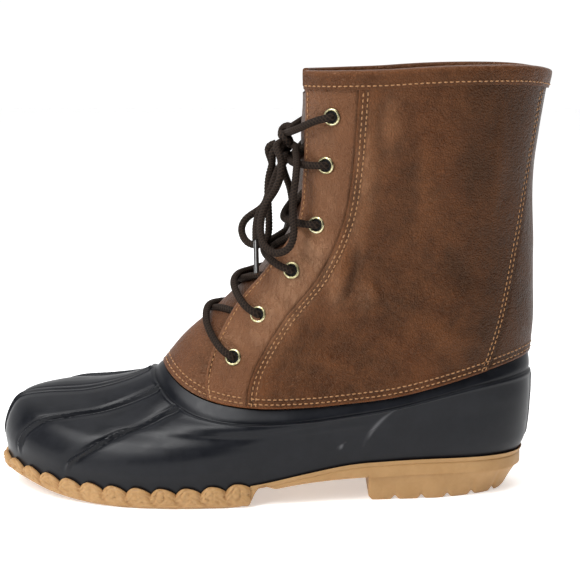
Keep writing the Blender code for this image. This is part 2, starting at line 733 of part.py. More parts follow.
def make_collar_cuff():
    """Folded strip over the collar: up the outside, over the top and down the inside."""
    angles, _ = leather_angles(COLLAR)
    low = cuff_row(angles) + 0.015
    outside, inside = CUFF_PROUD, -LEATHER_WALL - GAP - CUFF_WALL
    skin_out = proud(angles, low, np.full(len(angles), outside))
    skin_in = proud(angles, low, np.full(len(angles), inside))
    inner_out = proud(angles, low, np.full(len(angles), outside - CUFF_WALL))
    inner_in = proud(angles, low, np.full(len(angles), inside + CUFF_WALL))

    def at_top(height, rise):
        points = proud(angles, COLLAR, np.full(len(angles), height))
        points[:, 2] += rise
        return points

    cover = CUFF_WALL
    outer = [skin_out, at_top(outside, 0.2 * cover), at_top(outside * 0.4, cover),
             at_top(inside * 0.7, cover), at_top(inside, 0.2 * cover), skin_in]
    bare = GAP * 0.2
    inner = [inner_out, at_top(outside - CUFF_WALL, -0.5 * GAP), at_top(outside - CUFF_WALL, bare),
             at_top(inside + CUFF_WALL, bare), at_top(inside + CUFF_WALL, -0.5 * GAP), inner_in]
    return shell_solid("collar_cuff", np.array(outer), np.array(inner), wrap=False)


def tongue_height(share, v):
    """Depth of the tongue under the last: full in the middle low down, sunk at its edges."""
    low_down = np.clip((ROW["ankle"] - v) / (ROW["ankle"] - JOINT), 0.0, 1.0)
    middle = np.clip((0.80 - np.abs(share)) / 0.25, 0.0, 1.0)
    full = low_down ** 0.5 * middle
    under = LEATHER_WALL + GAP + TONGUE_SINK * (1.0 - low_down)
    return -(under * (1.0 - full) + 0.0004 * full)


def make_tongue():
    rows = [JOINT + 0.02, 8.4, 8.9, 9.5, 10.1, 10.8, 11.5, 12.2, 13.0, 14.0, COLLAR - 0.4]
    shares = np.array([-1, -0.85, -0.72, -0.6, -0.45, -0.25, 0, 0.25, 0.45, 0.6, 0.72, 0.85, 1])
    outer, inner = [], []
    for v in rows:
        reach = float(seam("eyestay", v)) + TONGUE_LAP
        angles = shares * reach
        depth = tongue_height(shares, v)
        outer.append(proud(angles, v, depth))
        inner.append(proud(angles, v, depth - TONGUE_WALL))
    return shell_solid("tongue", np.array(outer), np.array(inner), wrap=False)


# Laces

def smooth_route(points, spacing):
    """Evenly spaced points on a smooth curve through a route's own points."""
    points = np.array(points, float)
    number = np.concatenate([[0], np.cumsum(np.linalg.norm(np.diff(points, axis=0), axis=1))])
    fine = np.linspace(0, number[-1], 200)
    curve = np.stack([through(list(zip(number, points[:, k])), 1, fine) for k in range(3)], -1)
    length = np.concatenate([[0], np.cumsum(np.linalg.norm(np.diff(curve, axis=0), axis=1))])
    count = max(3, int(round(length[-1] / spacing)) + 1)
    even = np.linspace(0, length[-1], count)
    return np.stack([np.interp(even, length, curve[:, k]) for k in range(3)], -1)


def tube(name, points, radius):
    """Round cord as a curve with a bevel and filled caps."""
    data = bpy.data.curves.new(name, "CURVE")
    data.dimensions = "3D"
    data.bevel_depth = radius
    data.bevel_resolution = 2
    data.use_fill_caps = True
    line = data.splines.new("POLY")
    line.points.add(len(points) - 1)
    for item, point in zip(line.points, points):
        item.co = (*point, 1.0)
    return bpy.data.objects.new(name, data)


def curve_to_mesh(item):
    """Mesh object from a curve object, with its caps welded; the curve is removed."""
    bpy.context.scene.collection.objects.link(item)
    bpy.context.view_layer.update()
    graph = bpy.context.evaluated_depsgraph_get()
    mesh = bpy.data.meshes.new_from_object(item.evaluated_get(graph))
    work = bmesh.new()
    work.from_mesh(mesh)
    bmesh.ops.remove_doubles(work, verts=work.verts, dist=1e-5)
    work.to_mesh(mesh)
    work.free()
    solid = bpy.data.objects.new(item.name, mesh)
    solid.matrix_world = item.matrix_world
    bpy.data.objects.remove(item, do_unlink=True)
    return solid


def lace_height():
    """Height of a lace's middle over the last where it lies on an eyelet."""
    return LACE_RADIUS + EYELET_FLANGE + 5 * GAP


def crossing_route(start, end):
    """Route from an eyelet on one side to one on the other, over the throat."""
    height = lace_height()
    share = np.linspace(0, 1, 8)
    theta = start[0] + (end[0] - start[0]) * share
    v = start[1] + (end[1] - start[1]) * share
    return proud(theta, v, np.full(len(share), height))


def knot_centre():
    return proud(0.0, KNOT_ROW, KNOT_PROUD)


def make_crossings():
    """The lace's bar over the lowest eyelets and the crossings above it, up to eyelet 2."""
    near = [eyelet_place(k) for k in range(len(EYELETS))]
    far = [(-theta, v) for theta, v in near]
    routes = [crossing_route(near[-1], far[-1])]
    for k in range(1, len(EYELETS) - 1):
        routes.append(crossing_route(near[k], far[k + 1]))
        routes.append(crossing_route(far[k], near[k + 1]))
    return [curve_to_mesh(tube(f"lace_run_{k}", route, LACE_RADIUS))
            for k, route in enumerate(routes)]


def make_knot():
    """The knot as a slightly flattened ball, with the lace's runs to it from eyelets 1."""
    mesh = bpy.data.meshes.new("knot_ball")
    work = bmesh.new()
    bmesh.ops.create_uvsphere(work, u_segments=12, v_segments=8, radius=1.0)
    bmesh.ops.scale(work, vec=KNOT_RADII, verts=work.verts)
    centre = knot_centre()
    bmesh.ops.translate(work, vec=centre, verts=work.verts)
    work.to_mesh(mesh)
    work.free()
    mesh.shade_smooth()
    solids = [bpy.data.objects.new("knot_ball", mesh)]
    theta, v = eyelet_place(0)
    for side in (-1.0, 1.0):
        start = proud(-side * theta, v, lace_height())
        over = proud(-side * theta * 0.6, v - 0.22, lace_height() + 0.0004)
        stop = centre + np.array([0.0, side * 0.6 * KNOT_RADII[1], 0.4 * KNOT_RADII[2]])
        route = smooth_route([start, over, stop], 0.006)
        solids.append(curve_to_mesh(tube(f"knot_run_{int(side)}", route, LACE_RADIUS)))
    return solids


def knot_exit(name):
    """Two points straight out of the knot, where one of the bow's cords starts."""
    direction = np.array(KNOT_EXITS[name])
    radii = np.array(KNOT_RADII)
    on_knot = direction / np.linalg.norm(direction) * radii
    normal = on_knot / radii ** 2
    normal /= np.linalg.norm(normal)
    start = knot_centre() + on_knot + normal * KNOT_GAP
    return [start, start + 1.5 * normal * LACE_RADIUS]


def make_bow():
    """Loops and ends of the bow, with an aglet on each end."""
    spacing = 3.5 * LACE_RADIUS
    far_end = [proud(theta, v, height) for theta, v, height in FAR_END]
    routes = {
        "lace_loop_near": [*knot_exit("near_start"), *NEAR_LOOP,
                           *knot_exit("near_finish")[::-1]],
        "lace_loop_far": [*knot_exit("far_start"), *FAR_LOOP, *knot_exit("far_finish")[::-1]],
        "lace_end_near": [*knot_exit("near_end"), *NEAR_END],
        "lace_end_far": [*knot_exit("far_end"), *far_end],
    }
    pieces = []
    for name, route in routes.items():
        points = smooth_route(route, spacing)
        pieces.append(tube(name, points, LACE_RADIUS))
        if "_end_" in name:
            along = points[-1] - points[-2]
            along /= np.linalg.norm(along)
            tip = points[-1] + along * GAP / 10
            side = name.rsplit("_", 1)[1]
            pieces.append(tube(f"aglet_{side}", [tip, tip + along * AGLET_LENGTH], AGLET_RADIUS))
    return pieces


# Assembly

def apply_difference(item, cutter):
    cut = item.modifiers.new("eyelet_holes", "BOOLEAN")
    cut.operation = "DIFFERENCE"
    cut.object = cutter


def join_solids(name, solids, collection):
    """Union of the solids, taken one after another into the first."""
    base = solids[0]
    base.name = name
    for k, other in enumerate(solids[1:]):
        collection.objects.link(other)
        other.hide_render = True
        other.display_type = "WIRE"
        union = base.modifiers.new(f"join_{k}", "BOOLEAN")
        union.operation = "UNION"
        union.object = other
    return base


def main():
    clear_scene()
    boot = bpy.data.collections.new("duck_boot")
    tools = bpy.data.collections.new("cutters")
    bpy.context.scene.collection.children.link(boot)
    bpy.context.scene.collection.children.link(tools)
    root = bpy.data.objects.new("boot_origin", None)
    boot.objects.link(root)

    gum = material("gum_rubber", (0.58, 0.33, 0.13), 0.62)
    rubber = material("dark_rubber", (0.012, 0.014, 0.020), 0.38)
    leather = material("brown_leather", (0.115, 0.045, 0.022), 0.45)
    lining = material("insole_cloth", (0.10, 0.085, 0.07), 0.9)
    brass = material("antique_brass", (0.42, 0.33, 0.17), 0.35, 1.0)
    cord = material("brown_lace", (0.028, 0.017, 0.012), 0.8)
    tip = material("lace_tip", (0.015, 0.013, 0.012), 0.3)

    place(make_outsole(), boot, gum, root)
    place(make_rubber_shell(), boot, rubber, root)
    place(make_insole(), boot, lining, root)
    upper = place(make_leather_upper(), boot, leather, root)
    holes = make_hole_cutter()
    tools.objects.link(holes)
    holes.parent = root
    holes.hide_render = True
    holes.display_type = "WIRE"
    apply_difference(upper, holes)
    place(make_collar_cuff(), boot, leather, root)
    place(make_tongue(), boot, leather, root)
    for number in range(len(EYELETS)):
        for outer_side in (True, False):
            eyelet = make_eyelet(number, outer_side)
            frame = eyelet.matrix_world.copy()
            place(eyelet, boot, brass, root)
            eyelet.matrix_world = frame
    for name, runs in (("lace_crossings", make_crossings()), ("lace_knot", make_knot())):
        for other in runs[1:]:
            other.parent = root
        place(join_solids(name, runs, tools), boot, cord, root)
    for piece in make_bow():
        place(piece, boot, tip if piece.name.startswith("aglet") else cord, root)

    bpy.context.view_layer.update()
    graph = bpy.context.evaluated_depsgraph_get()
    corners = []
    for name in ("outsole", "rubber_shell", "leather_upper", "collar_cuff", "lace_crossings"):
        item = bpy.data.objects[name].evaluated_get(graph)
        corners += [item.matrix_world @ Vector(c) for c in item.bound_box]
    corners = np.array(corners)
    middle = (corners.min(axis=0) + corners.max(axis=0)) / 2
    root.location = (-middle[0], -middle[1], 0.0)
    bpy.context.view_layer.update()


main()
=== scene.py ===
"""Duck boot, left foot, on a pale studio floor.

Every skin of the boot is a surface worked out from one function, last(theta, v): theta goes
round the boot in degrees, from the front over the outer side, and v counts the loops of the
last from the feather edge up to the collar. Reliefs such as ribs, seams and creases are
heights along that surface's normal.
"""
import math

import bmesh
import bpy
import numpy as np
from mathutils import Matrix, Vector


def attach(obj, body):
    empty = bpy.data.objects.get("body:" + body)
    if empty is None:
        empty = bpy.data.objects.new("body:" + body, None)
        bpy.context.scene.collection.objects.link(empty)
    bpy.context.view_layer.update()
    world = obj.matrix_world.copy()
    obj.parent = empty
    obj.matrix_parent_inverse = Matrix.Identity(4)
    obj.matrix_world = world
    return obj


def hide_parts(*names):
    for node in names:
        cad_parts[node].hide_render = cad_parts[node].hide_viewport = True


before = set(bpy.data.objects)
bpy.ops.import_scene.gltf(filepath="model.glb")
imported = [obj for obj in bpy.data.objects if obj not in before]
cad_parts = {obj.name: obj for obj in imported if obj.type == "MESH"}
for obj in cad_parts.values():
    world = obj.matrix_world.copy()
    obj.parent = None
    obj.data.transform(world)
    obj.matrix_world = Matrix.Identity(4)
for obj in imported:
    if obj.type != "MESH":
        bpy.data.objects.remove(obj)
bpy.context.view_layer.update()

# The last's own sizes, in metres
SOLE_LENGTH = 0.300
BALL_WIDTH = 0.100
LEG_WIDTH = 0.087
RUBBER_HEIGHT = 0.058
LEG_HEIGHT = 0.215
HEEL_SEAT = 0.0213
BALL_SEAT = 0.0075
TOE_SEAT_RISE = 0.0075
TOE_SPRING = 0.0105
ARCH_HEIGHT = 0.0138
# From the last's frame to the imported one: the middle of the box in plan is the origin
SHIFT = np.array([-0.15555, -0.00076, 0.0])
MM = 0.001

# Loops of the last: their ends as shares of SOLE_LENGTH, and half widths at 30 to 150 degrees
# as shares of BALL_WIDTH, or of LEG_WIDTH above the joint
PLAN = (
    # name       front  back   w30   w60   w90   w120  w150
    ("feather",  0.010, 0.993, .275, .465, .415, .330, .240),
    ("bulge",    0.005, 1.005, .285, .485, .440, .356, .258),
    ("wall",     0.017, 1.009, .280, .483, .450, .372, .266),
    ("shoulder", 0.040, 1.011, .265, .455, .450, .380, .266),
    ("toe_top",  0.090, 1.012, .255, .425, .448, .384, .260),
    ("vamp",     0.167, 1.013, .250, .435, .443, .384, .250),
    ("instep",   0.240, 1.013, .265, .448, .439, .383, .235),
    ("band",     0.295, 1.013, .290, .445, .435, .380, .220),
    ("joint",    0.312, 1.012, .260, .405, .415, .365, .205),
    ("low",      0.360, 1.017, .270, .425, .443, .397, .230),
    ("bend",     0.427, 1.014, .253, .397, .420, .379, .224),
    ("ankle",    0.487, 1.011, .253, .385, .408, .368, .218),
    ("shin",     0.538, 1.007, .259, .397, .414, .379, .230),
    ("calf",     0.553, 1.010, .270, .420, .448, .408, .247),
    ("upper",    0.557, 1.020, .282, .440, .475, .431, .259),
    ("collar",   0.558, 1.032, .299, .460, .500, .454, .270),
)

# Their lift at 0 to 180 degrees, and how far the outer side dips at the toe: shares of
# RUBBER_HEIGHT over the seat, or of the way up to LEG_HEIGHT above the joint
LIFT = (
    # name         0      30     60     90    120    150    180    tilt
    ("feather",  0.000, 0.000, 0.000, 0.000, 0.000, 0.000, 0.000, 0.000),
    ("bulge",    0.262, 0.271, 0.216, 0.224, 0.152, 0.148, 0.141, 0.017),
    ("wall",     0.498, 0.469, 0.383, 0.369, 0.274, 0.279, 0.271, 0.078),
    ("shoulder", 0.659, 0.626, 0.533, 0.471, 0.366, 0.391, 0.391, 0.155),
    ("toe_top",  0.747, 0.712, 0.652, 0.534, 0.447, 0.495, 0.503, 0.224),
    ("vamp",     0.816, 0.771, 0.703, 0.560, 0.534, 0.598, 0.616, 0.241),
    ("instep",   0.929, 0.826, 0.714, 0.566, 0.609, 0.702, 0.719, 0.190),
    ("band",     1.060, 0.857, 0.691, 0.571, 0.684, 0.795, 0.819, 0.086),
    ("joint",    1.147, 0.964, 0.781, 0.664, 0.778, 0.943, 1.000, 0.017),
    ("low",      0.166, 0.092, 0.031, -.006, 0.049, 0.113, 0.132, 0.000),
    ("bend",     0.309, 0.256, 0.183, 0.148, 0.199, 0.253, 0.272, 0.000),
    ("ankle",    0.414, 0.390, 0.330, 0.317, 0.361, 0.406, 0.425, 0.000),
    ("shin",     0.530, 0.524, 0.493, 0.499, 0.536, 0.565, 0.578, 0.000),
    ("calf",     0.697, 0.689, 0.666, 0.673, 0.696, 0.708, 0.711, 0.000),
    ("upper",    0.866, 0.861, 0.837, 0.842, 0.855, 0.858, 0.858, 0.000),
    ("collar",   1.045, 1.035, 1.011, 1.011, 1.017, 1.013, 1.000, 0.000),
)

# Shares of the toe's and the heel's rise in the seat, against x / SOLE_LENGTH
SEAT = (
    # x     toe   heel
    (0.000, 1.00, 0.00),
    (0.077, 0.47, 0.00),
    (0.167, 0.13, 0.00),
    (0.257, 0.00, 0.00),
    (0.367, 0.00, 0.00),
    (0.500, 0.00, 0.24),
    (0.583, 0.00, 0.58),
    (0.667, 0.00, 0.89),
    (0.747, 0.00, 1.00),
    (1.050, 0.00, 1.00),
)

# Shares of the toe's spring and the arch in the tread, against x / SOLE_LENGTH
TREAD = (
    # x     toe   arch
    (0.000, 1.00, 0.00),
    (0.053, 0.76, 0.00),
    (0.107, 0.38, 0.00),
    (0.177, 0.10, 0.00),
    (0.250, 0.00, 0.00),
    (0.433, 0.00, 0.00),
    (0.467, 0.00, 0.05),
    (0.483, 0.00, 0.15),
    (0.490, 0.00, 0.49),
    (0.533, 0.00, 0.68),
    (0.577, 0.00, 0.82),
    (0.633, 0.00, 0.93),
    (0.700, 0.00, 1.00),
)

# How far the middle line bends to the inner side, as a share of BALL_WIDTH
CURVE = (
    # x     inwards
    (0.000, 0.080),
    (0.093, 0.065),
    (0.183, 0.045),
    (0.277, 0.015),
    (0.367, -.005),
    (0.500, -.015),
    (0.693, -.005),
    (1.050, 0.000),
)

# Angles of the leather's lines on each loop, in degrees
SEAMS = (
    # name     eyestay quarter backstay
    ("joint",  42.4,   58.1,   137.1),
    ("low",    31.0,   52.8,   140.9),
    ("bend",   25.5,   52.9,   144.9),
    ("ankle",  27.0,   57.6,   149.0),
    ("shin",   29.0,   58.4,   154.6),
    ("calf",   27.0,   59.7,   158.7),
    ("upper",  26.0,   60.0,   160.0),
    ("collar", 26.5,   60.4,   160.7),
)

# Angles of the two ribs beside the middle one on each loop, in degrees
RIBS = (
    # name       inner outer
    ("feather",  21.0, 41.0),
    ("bulge",    22.0, 44.2),
    ("wall",     26.0, 48.4),
    ("shoulder", 29.0, 50.5),
    ("toe_top",  28.0, 50.0),
    ("vamp",     24.5, 44.0),
    ("instep",   20.0, 36.0),
    ("band",     17.0, 30.5),
)

# Row of each eyelet from the top, and its share of the way from eyestay to quarter
EYELETS = (
    (14.15, 0.60),
    (13.20, 0.53),
    (12.00, 0.50),
    (11.02, 0.52),
    (10.02, 0.53),
    (9.20, 0.50),
)
ROW = {row[0]: float(index) for index, row in enumerate(PLAN)}
BAND = ROW["band"]
JOINT = ROW["joint"]
COLLAR = ROW["collar"]
SCALLOPS = 12
FOREFOOT = 0.483 * SOLE_LENGTH
BREAST = 0.702 * SOLE_LENGTH
HEEL_LUG_PITCH = 0.0150
HEEL_LUGS = 5
HEEL_BAND = 0.0075
CUFF_HEIGHT = 0.0090
RUBBER_WALL = 0.0026
SHAFT_WALL = 0.0020
TONGUE_REACH = 8.0      # degrees under each eyestay

# Gum sole: the lip over the seat on the chain edge and behind it, and the cobbles' rise
CHAIN_LIP, PLAIN_LIP, COBBLE_RISE = 0.0007, 0.0022, 0.0037
# How far its wall stands out past the rubber, and the play between the two
CHAIN_REACH, PLAIN_REACH, RUBBER_PLAY = 0.0019, 0.0010, 0.0003
LUG_NOTCH, BAR_DEPTH, PAD_DEPTH, RAIL_DEPTH = 0.0023, 0.0020, 0.0016, 0.0008
BAR_PITCH, BAR_WAVE, WAVE_WIDTH = 0.0085, 0.0022, 0.0052

# Reliefs of the rubber foot and the leather, in mm
RIB_HEIGHT, RIB_GROOVE, PANEL_RISE = 1.5, 0.6, 0.75
BAND_SINK, BAND_ROLL, BAND_BEAD = 1.15, 0.75, 0.45
STRIP_HEIGHT, STRIP_HALF_WIDTH = 0.7, 3.2
QUARTER_RISE, QUARTER_PAD, PANEL_GROOVE = 0.85, 0.35, 0.30
THREAD_PULL = 0.10


def through(table, column, x):
    """Cubic curve through a table's points, with slopes taken from their neighbours."""
    xs = np.array([row[0] for row in table], float)
    ys = np.array([row[column] for row in table], float)
    x = np.clip(np.asarray(x, float), xs[0], xs[-1])
    step = np.diff(xs)
    slope = np.diff(ys) / step
    tangent = np.empty(len(xs))
    tangent[0], tangent[-1] = slope[0], slope[-1]
    tangent[1:-1] = (slope[:-1] * step[1:] + slope[1:] * step[:-1]) / (step[1:] + step[:-1])
    i = np.clip(np.searchsorted(xs, x, side="right") - 1, 0, len(xs) - 2)
    t = (x - xs[i]) / step[i]
    return (ys[i] * (1 + 2 * t) * (1 - t) ** 2 + tangent[i] * step[i] * t * (1 - t) ** 2
            + ys[i + 1] * t * t * (3 - 2 * t) + tangent[i + 1] * step[i] * t * t * (t - 1))


def by_row(rows, column, v, first="feather"):
    """The same curve through a table whose rows are the last's loops."""
    return through([(ROW[first] + k, *row[1:]) for k, row in enumerate(rows)], column, v)


def distance_along(points):
    """Distance of each point of a line from its first point."""
    return np.concatenate([[0], np.cumsum(np.linalg.norm(np.diff(points, axis=0), axis=1))])


def sampled(points, length, at):
    """Points of a line at the given distances along it."""
    return np.stack([np.interp(at, length, points[:, k]) for k in range(3)], -1)


def seat_height(x):
    """Height of the sole's top under the foot at x."""
    s = np.asarray(x) / SOLE_LENGTH
    return (BALL_SEAT + TOE_SEAT_RISE * through(SEAT, 1, s)
            + (HEEL_SEAT - BALL_SEAT) * through(SEAT, 2, s))


def tread_height(x):
    """Height of the tread at x, before grooves and the heel block."""
    s = np.asarray(x) / SOLE_LENGTH
    return np.maximum(TOE_SPRING * through(TREAD, 1, s) + ARCH_HEIGHT * through(TREAD, 2, s), 0.0)


def loop_series():
    """Sines for each loop's half width and cosines for its lift, fitted to the tables."""
    sines = np.linalg.inv(np.sin(np.outer(np.radians([30, 60, 90, 120, 150]), np.arange(1, 6))))
    cosines = np.linalg.inv(np.cos(np.outer(np.radians(np.arange(0, 181, 30)), np.arange(7))))
    widths, lifts = [], []
    for index, (plan, lift) in enumerate(zip(PLAN, LIFT)):
        on_leg = index > ROW["joint"]
        widths.append(sines @ (np.array(plan[3:8]) * (LEG_WIDTH if on_leg else BALL_WIDTH)))
        rise = np.array(lift[1:8])
        lifts.append(cosines @ (RUBBER_HEIGHT + rise * (LEG_HEIGHT - RUBBER_HEIGHT) if on_leg
                                else rise * RUBBER_HEIGHT))
    return np.array(widths), np.array(lifts), [lift[8] * RUBBER_HEIGHT for lift in LIFT]


WIDTHS, LIFTS, TILTS = loop_series()


def last(theta, v):
    """Point of the last: theta in degrees from the front round the outer side, v the row.

    Along a loop x goes from front to back as a cosine, the half width is a sum of sines
    and the lift above the seat a sum of cosines, so every loop closes smoothly.
    """
    theta, v = np.broadcast_arrays(np.radians(np.asarray(theta, float)), np.asarray(v, float))

    def along(values):
        return through(list(enumerate(values)), 1, v)

    front = along([row[1] for row in PLAN]) * SOLE_LENGTH
    back = along([row[2] for row in PLAN]) * SOLE_LENGTH
    x = front + (back - front) * (1 - np.cos(theta)) / 2
    half = sum(along(WIDTHS[:, k]) * np.sin((k + 1) * theta) for k in range(5))
    lift = sum(along(LIFTS[:, k]) * np.cos(k * theta) for k in range(7))
    lift = lift - along(TILTS) * np.sin(theta) * ((1 + np.cos(theta)) / 2) ** 2
    middle = through(CURVE, 1, x / SOLE_LENGTH) * BALL_WIDTH
    return np.stack([x, middle - half, seat_height(x) + lift], -1)


def frame_point(points):
    """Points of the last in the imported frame."""
    return points + SHIFT


def outward(theta, v):
    """Unit normal of the last, from the differences across and up the surface."""
    d_theta, d_v = 0.25, 0.02
    theta, v = np.broadcast_arrays(np.asarray(theta, float), np.asarray(v, float))
    low, high = np.maximum(v - d_v, 0.0), np.minimum(v + d_v, COLLAR)
    across = last(theta + d_theta, v) - last(theta - d_theta, v)
    normal = np.cross(across, last(theta, high) - last(theta, low))
    return normal / np.linalg.norm(normal, axis=-1, keepdims=True)


def skin(theta, v, height):
    """Point of the last raised along its normal by height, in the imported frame."""
    return frame_point(last(theta, v) + outward(theta, v) * np.asarray(height, float)[..., None])


def per_degree(theta, v):
    """Metres on the surface for one degree round the loop."""
    return np.linalg.norm(last(theta + 0.5, v) - last(theta - 0.5, v), axis=-1)


def per_row(theta, v):
    """Metres on the surface for one row of the last."""
    low, high = np.maximum(v - 0.05, 0.0), np.minimum(v + 0.05, COLLAR)
    return np.linalg.norm(last(theta, high) - last(theta, low), axis=-1) / (high - low)


def bump_of(distance, width):
    """Bell curve of a distance: 1 on the line, falling off over the width."""
    return np.exp(-(distance / width) ** 2)


def ramp(x, low, high):
    """Smooth step from 0 at low to 1 at high: 3t^2 - 2t^3."""
    t = np.clip((x - low) / (high - low), 0.0, 1.0)
    return t * t * (3 - 2 * t)


def mirrored(theta):
    """The same angle on the outer side, for 0 to 360 degrees."""
    theta = np.mod(theta, 360.0)
    return np.where(theta > 180.0, 360.0 - theta, theta)


def both_sides(half):
    """Angles of the outer side, then of the inner one, once round the boot."""
    return np.concatenate([half, 360.0 - half[-2:0:-1]])


def seam(name, v):
    """Angle of one of the leather's lines at row v."""
    return by_row(SEAMS, ("eyestay", "quarter", "backstay").index(name) + 1, v, first="joint")


def rib_angle(column, v):
    """Angle of a toe rib at row v: the table's curve averaged over a row each way."""
    v = np.minimum(v, BAND)
    nearby = [by_row(RIBS, column, np.clip(v + d, 0.0, BAND)) for d in np.linspace(-1, 1, 9)]
    return sum(nearby) / len(nearby)


def cuff_row(theta):
    """Row of the cuff's lower edge."""
    rise = last(theta, COLLAR)[..., 2] - last(theta, COLLAR - 1.0)[..., 2]
    return COLLAR - CUFF_HEIGHT / rise


# Meshes

def mesh_piece(name, vertices, faces, finish, smooth_angle=50.0):
    """Mesh object at the origin that rides on the boot, with all its faces turned outwards."""
    mesh = bpy.data.meshes.new(name)
    mesh.from_pydata(np.asarray(vertices).tolist(), [], faces)
    mesh.shade_smooth()
    mesh.set_sharp_from_angle(angle=math.radians(smooth_angle))
    work = bmesh.new()
    work.from_mesh(mesh)
    bmesh.ops.recalc_face_normals(work, faces=work.faces)
    work.to_mesh(mesh)
    work.free()
    piece = bpy.data.objects.new(name, mesh)
    bpy.context.scene.collection.objects.link(piece)
    mesh.materials.append(finish)
    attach(piece, "root")
    return piece


def grid_faces(start, rows, columns, wrap, flip=False):
    """Quads of a grid whose vertices are stored row after row."""
    r, c = np.meshgrid(np.arange(rows - 1), np.arange(columns if wrap else columns - 1),
                       indexing="ij")
    n = (c + 1) % columns
    quads = np.stack([r * columns + c, r * columns + n, (r + 1) * columns + n,
                      (r + 1) * columns + c], -1).reshape(-1, 4) + start
    return (quads[:, ::-1] if flip else quads).tolist()


def tube_faces(start, rows, sides):
    """Faces of a closed tube of rings stored one after another, with both its ends."""
    end = start + (rows - 1) * sides
    return grid_faces(start, rows, sides, True) + [list(range(start + sides - 1, start - 1, -1)),
                                                   list(range(end, end + sides))]


def wall_piece(name, outer, inner, wrap, finish, inside):
    """Closed wall between an outer and an inner grid with the same columns.

    The faces of the inner grid take the second finish. The rims join the first rows and the
    last rows; an open wall's ends are faces from the outer rows to the inner ones.
    """
    rows_out, columns = outer.shape[:2]
    rows_in = inner.shape[0]
    around = columns if wrap else columns - 1
    second = rows_out * columns
    faces = grid_faces(0, rows_out, columns, wrap)
    faces += grid_faces(second, rows_in, columns, wrap, flip=True)
    top_out, top_in = (rows_out - 1) * columns, second + (rows_in - 1) * columns
    for c in range(around):
        n = (c + 1) % columns
        faces += [(n, c, second + c, second + n),
                  (top_out + c, top_out + n, top_in + n, top_in + c)]
    if not wrap:
        for c in (0, columns - 1):
            faces.append([r * columns + c for r in range(rows_out)]
                         + [second + r * columns + c for r in range(rows_in - 1, -1, -1)])
    points = np.concatenate([outer.reshape(-1, 3), inner.reshape(-1, 3)])
    piece = mesh_piece(name, points, faces, finish)
    piece.data.materials.append(inside)
    numbers = np.zeros(len(faces), np.int32)
    first = (rows_out - 1) * around
    numbers[first:first + (rows_in - 1) * around] = 1
    piece.data.polygons.foreach_set("material_index", numbers)
    return piece


def add_field(piece, name, *parts):
    """Store a number for each vertex as an attribute."""
    data = piece.data.attributes.new(name, "FLOAT", "POINT")
    data.data.foreach_set("value", np.concatenate([np.ravel(p) for p in parts]).astype(np.float32))


# Shader groups and finishes

def add_node(tree, kind, inputs=None, **settings):
    """Shader node with its settings and its inputs, each of them a socket or a value."""
    node = tree.nodes.new("ShaderNode" + kind)
    for label, value in settings.items():
        setattr(node, label, value)
    for label, value in (inputs or {}).items():
        if isinstance(value, bpy.types.NodeSocket):
            tree.links.new(value, node.inputs[label])
        else:
            node.inputs[label].default_value = value
    return node


def math_node(tree, operation, *inputs):
    return add_node(tree, "Math", dict(enumerate(inputs)), operation=operation).outputs[0]


def times(tree, a, b):
    return math_node(tree, "MULTIPLY", a, b)


def plus(tree, a, b):
    return math_node(tree, "ADD", a, b)


def noise_node(tree, vector, scale, detail=3.0, roughness=0.55):
    """Noise texture on the given vector; returns its value."""
    return add_node(tree, "TexNoise", {"Vector": vector, "Scale": scale, "Detail": detail,
                                       "Roughness": roughness}).outputs["Fac"]


def range_node(tree, value, low, high, to_low=0.0, to_high=1.0):
    """Map Range node, clamped and smooth."""
    return add_node(tree, "MapRange", {"Value": value, "From Min": low, "From Max": high,
                                       "To Min": to_low, "To Max": to_high},
                    interpolation_type="SMOOTHSTEP").outputs["Result"]


def mix_colour(tree, mask, first, second):
    """Colour mix by a mask; each side is a socket or a colour."""
    first, second = ((*side, 1.0) if isinstance(side, tuple) else side
                     for side in (first, second))
    return add_node(tree, "Mix", {0: mask, 6: first, 7: second}, data_type="RGBA").outputs[2]


def object_vector(tree):
    return add_node(tree, "TexCoord").outputs["Object"]


def attribute(tree, name):
    return add_node(tree, "Attribute", attribute_name=name).outputs["Fac"]


def use_group(tree, group, **values):
    return add_node(tree, "Group", values, node_tree=group)


def node_group(name, inputs, outputs):
    """Shader node group with float inputs and outputs."""
    group = bpy.data.node_groups.new(name, "ShaderNodeTree")
    for label, value in inputs.items():
        group.interface.new_socket(label, in_out="INPUT",
                                   socket_type="NodeSocketFloat").default_value = value
    for label in outputs:
        group.interface.new_socket(label, in_out="OUTPUT", socket_type="NodeSocketFloat")
    return group, group.nodes.new("NodeGroupInput"), group.nodes.new("NodeGroupOutput")


def grain_group():
    """Leather grain: pebbles between fine creases, their height and a mask of the creases.

    The pebbles are cells of two sizes, pushed about by noise so that they don't line up.
    """
    group, start, finish = node_group("leather_grain", {"Scale": 900.0, "Warp": 0.002},
                                      ("Height", "Creases"))
    place = object_vector(group)
    warp = add_node(group, "TexNoise", {"Scale": 350.0, "Vector": place}).outputs["Color"]
    shift = add_node(group, "VectorMath", {0: warp, "Scale": start.outputs["Warp"]},
                     operation="SCALE").outputs[0]
    moved = add_node(group, "VectorMath", {0: place, 1: shift}, operation="ADD").outputs[0]
    heights = []
    for factor, weight in ((1.0, 0.65), (0.42, 0.35)):
        scale = times(group, start.outputs["Scale"], factor)
        cells = add_node(group, "TexVoronoi", {"Vector": moved, "Scale": scale},
                         feature="DISTANCE_TO_EDGE").outputs["Distance"]
        heights.append(times(group, range_node(group, cells, 0.0, 0.28), weight))
    total = plus(group, *heights)
    group.links.new(total, finish.inputs["Height"])
    group.links.new(range_node(group, total, 0.25, 0.75, 1.0, 0.0), finish.inputs["Creases"])
    return group


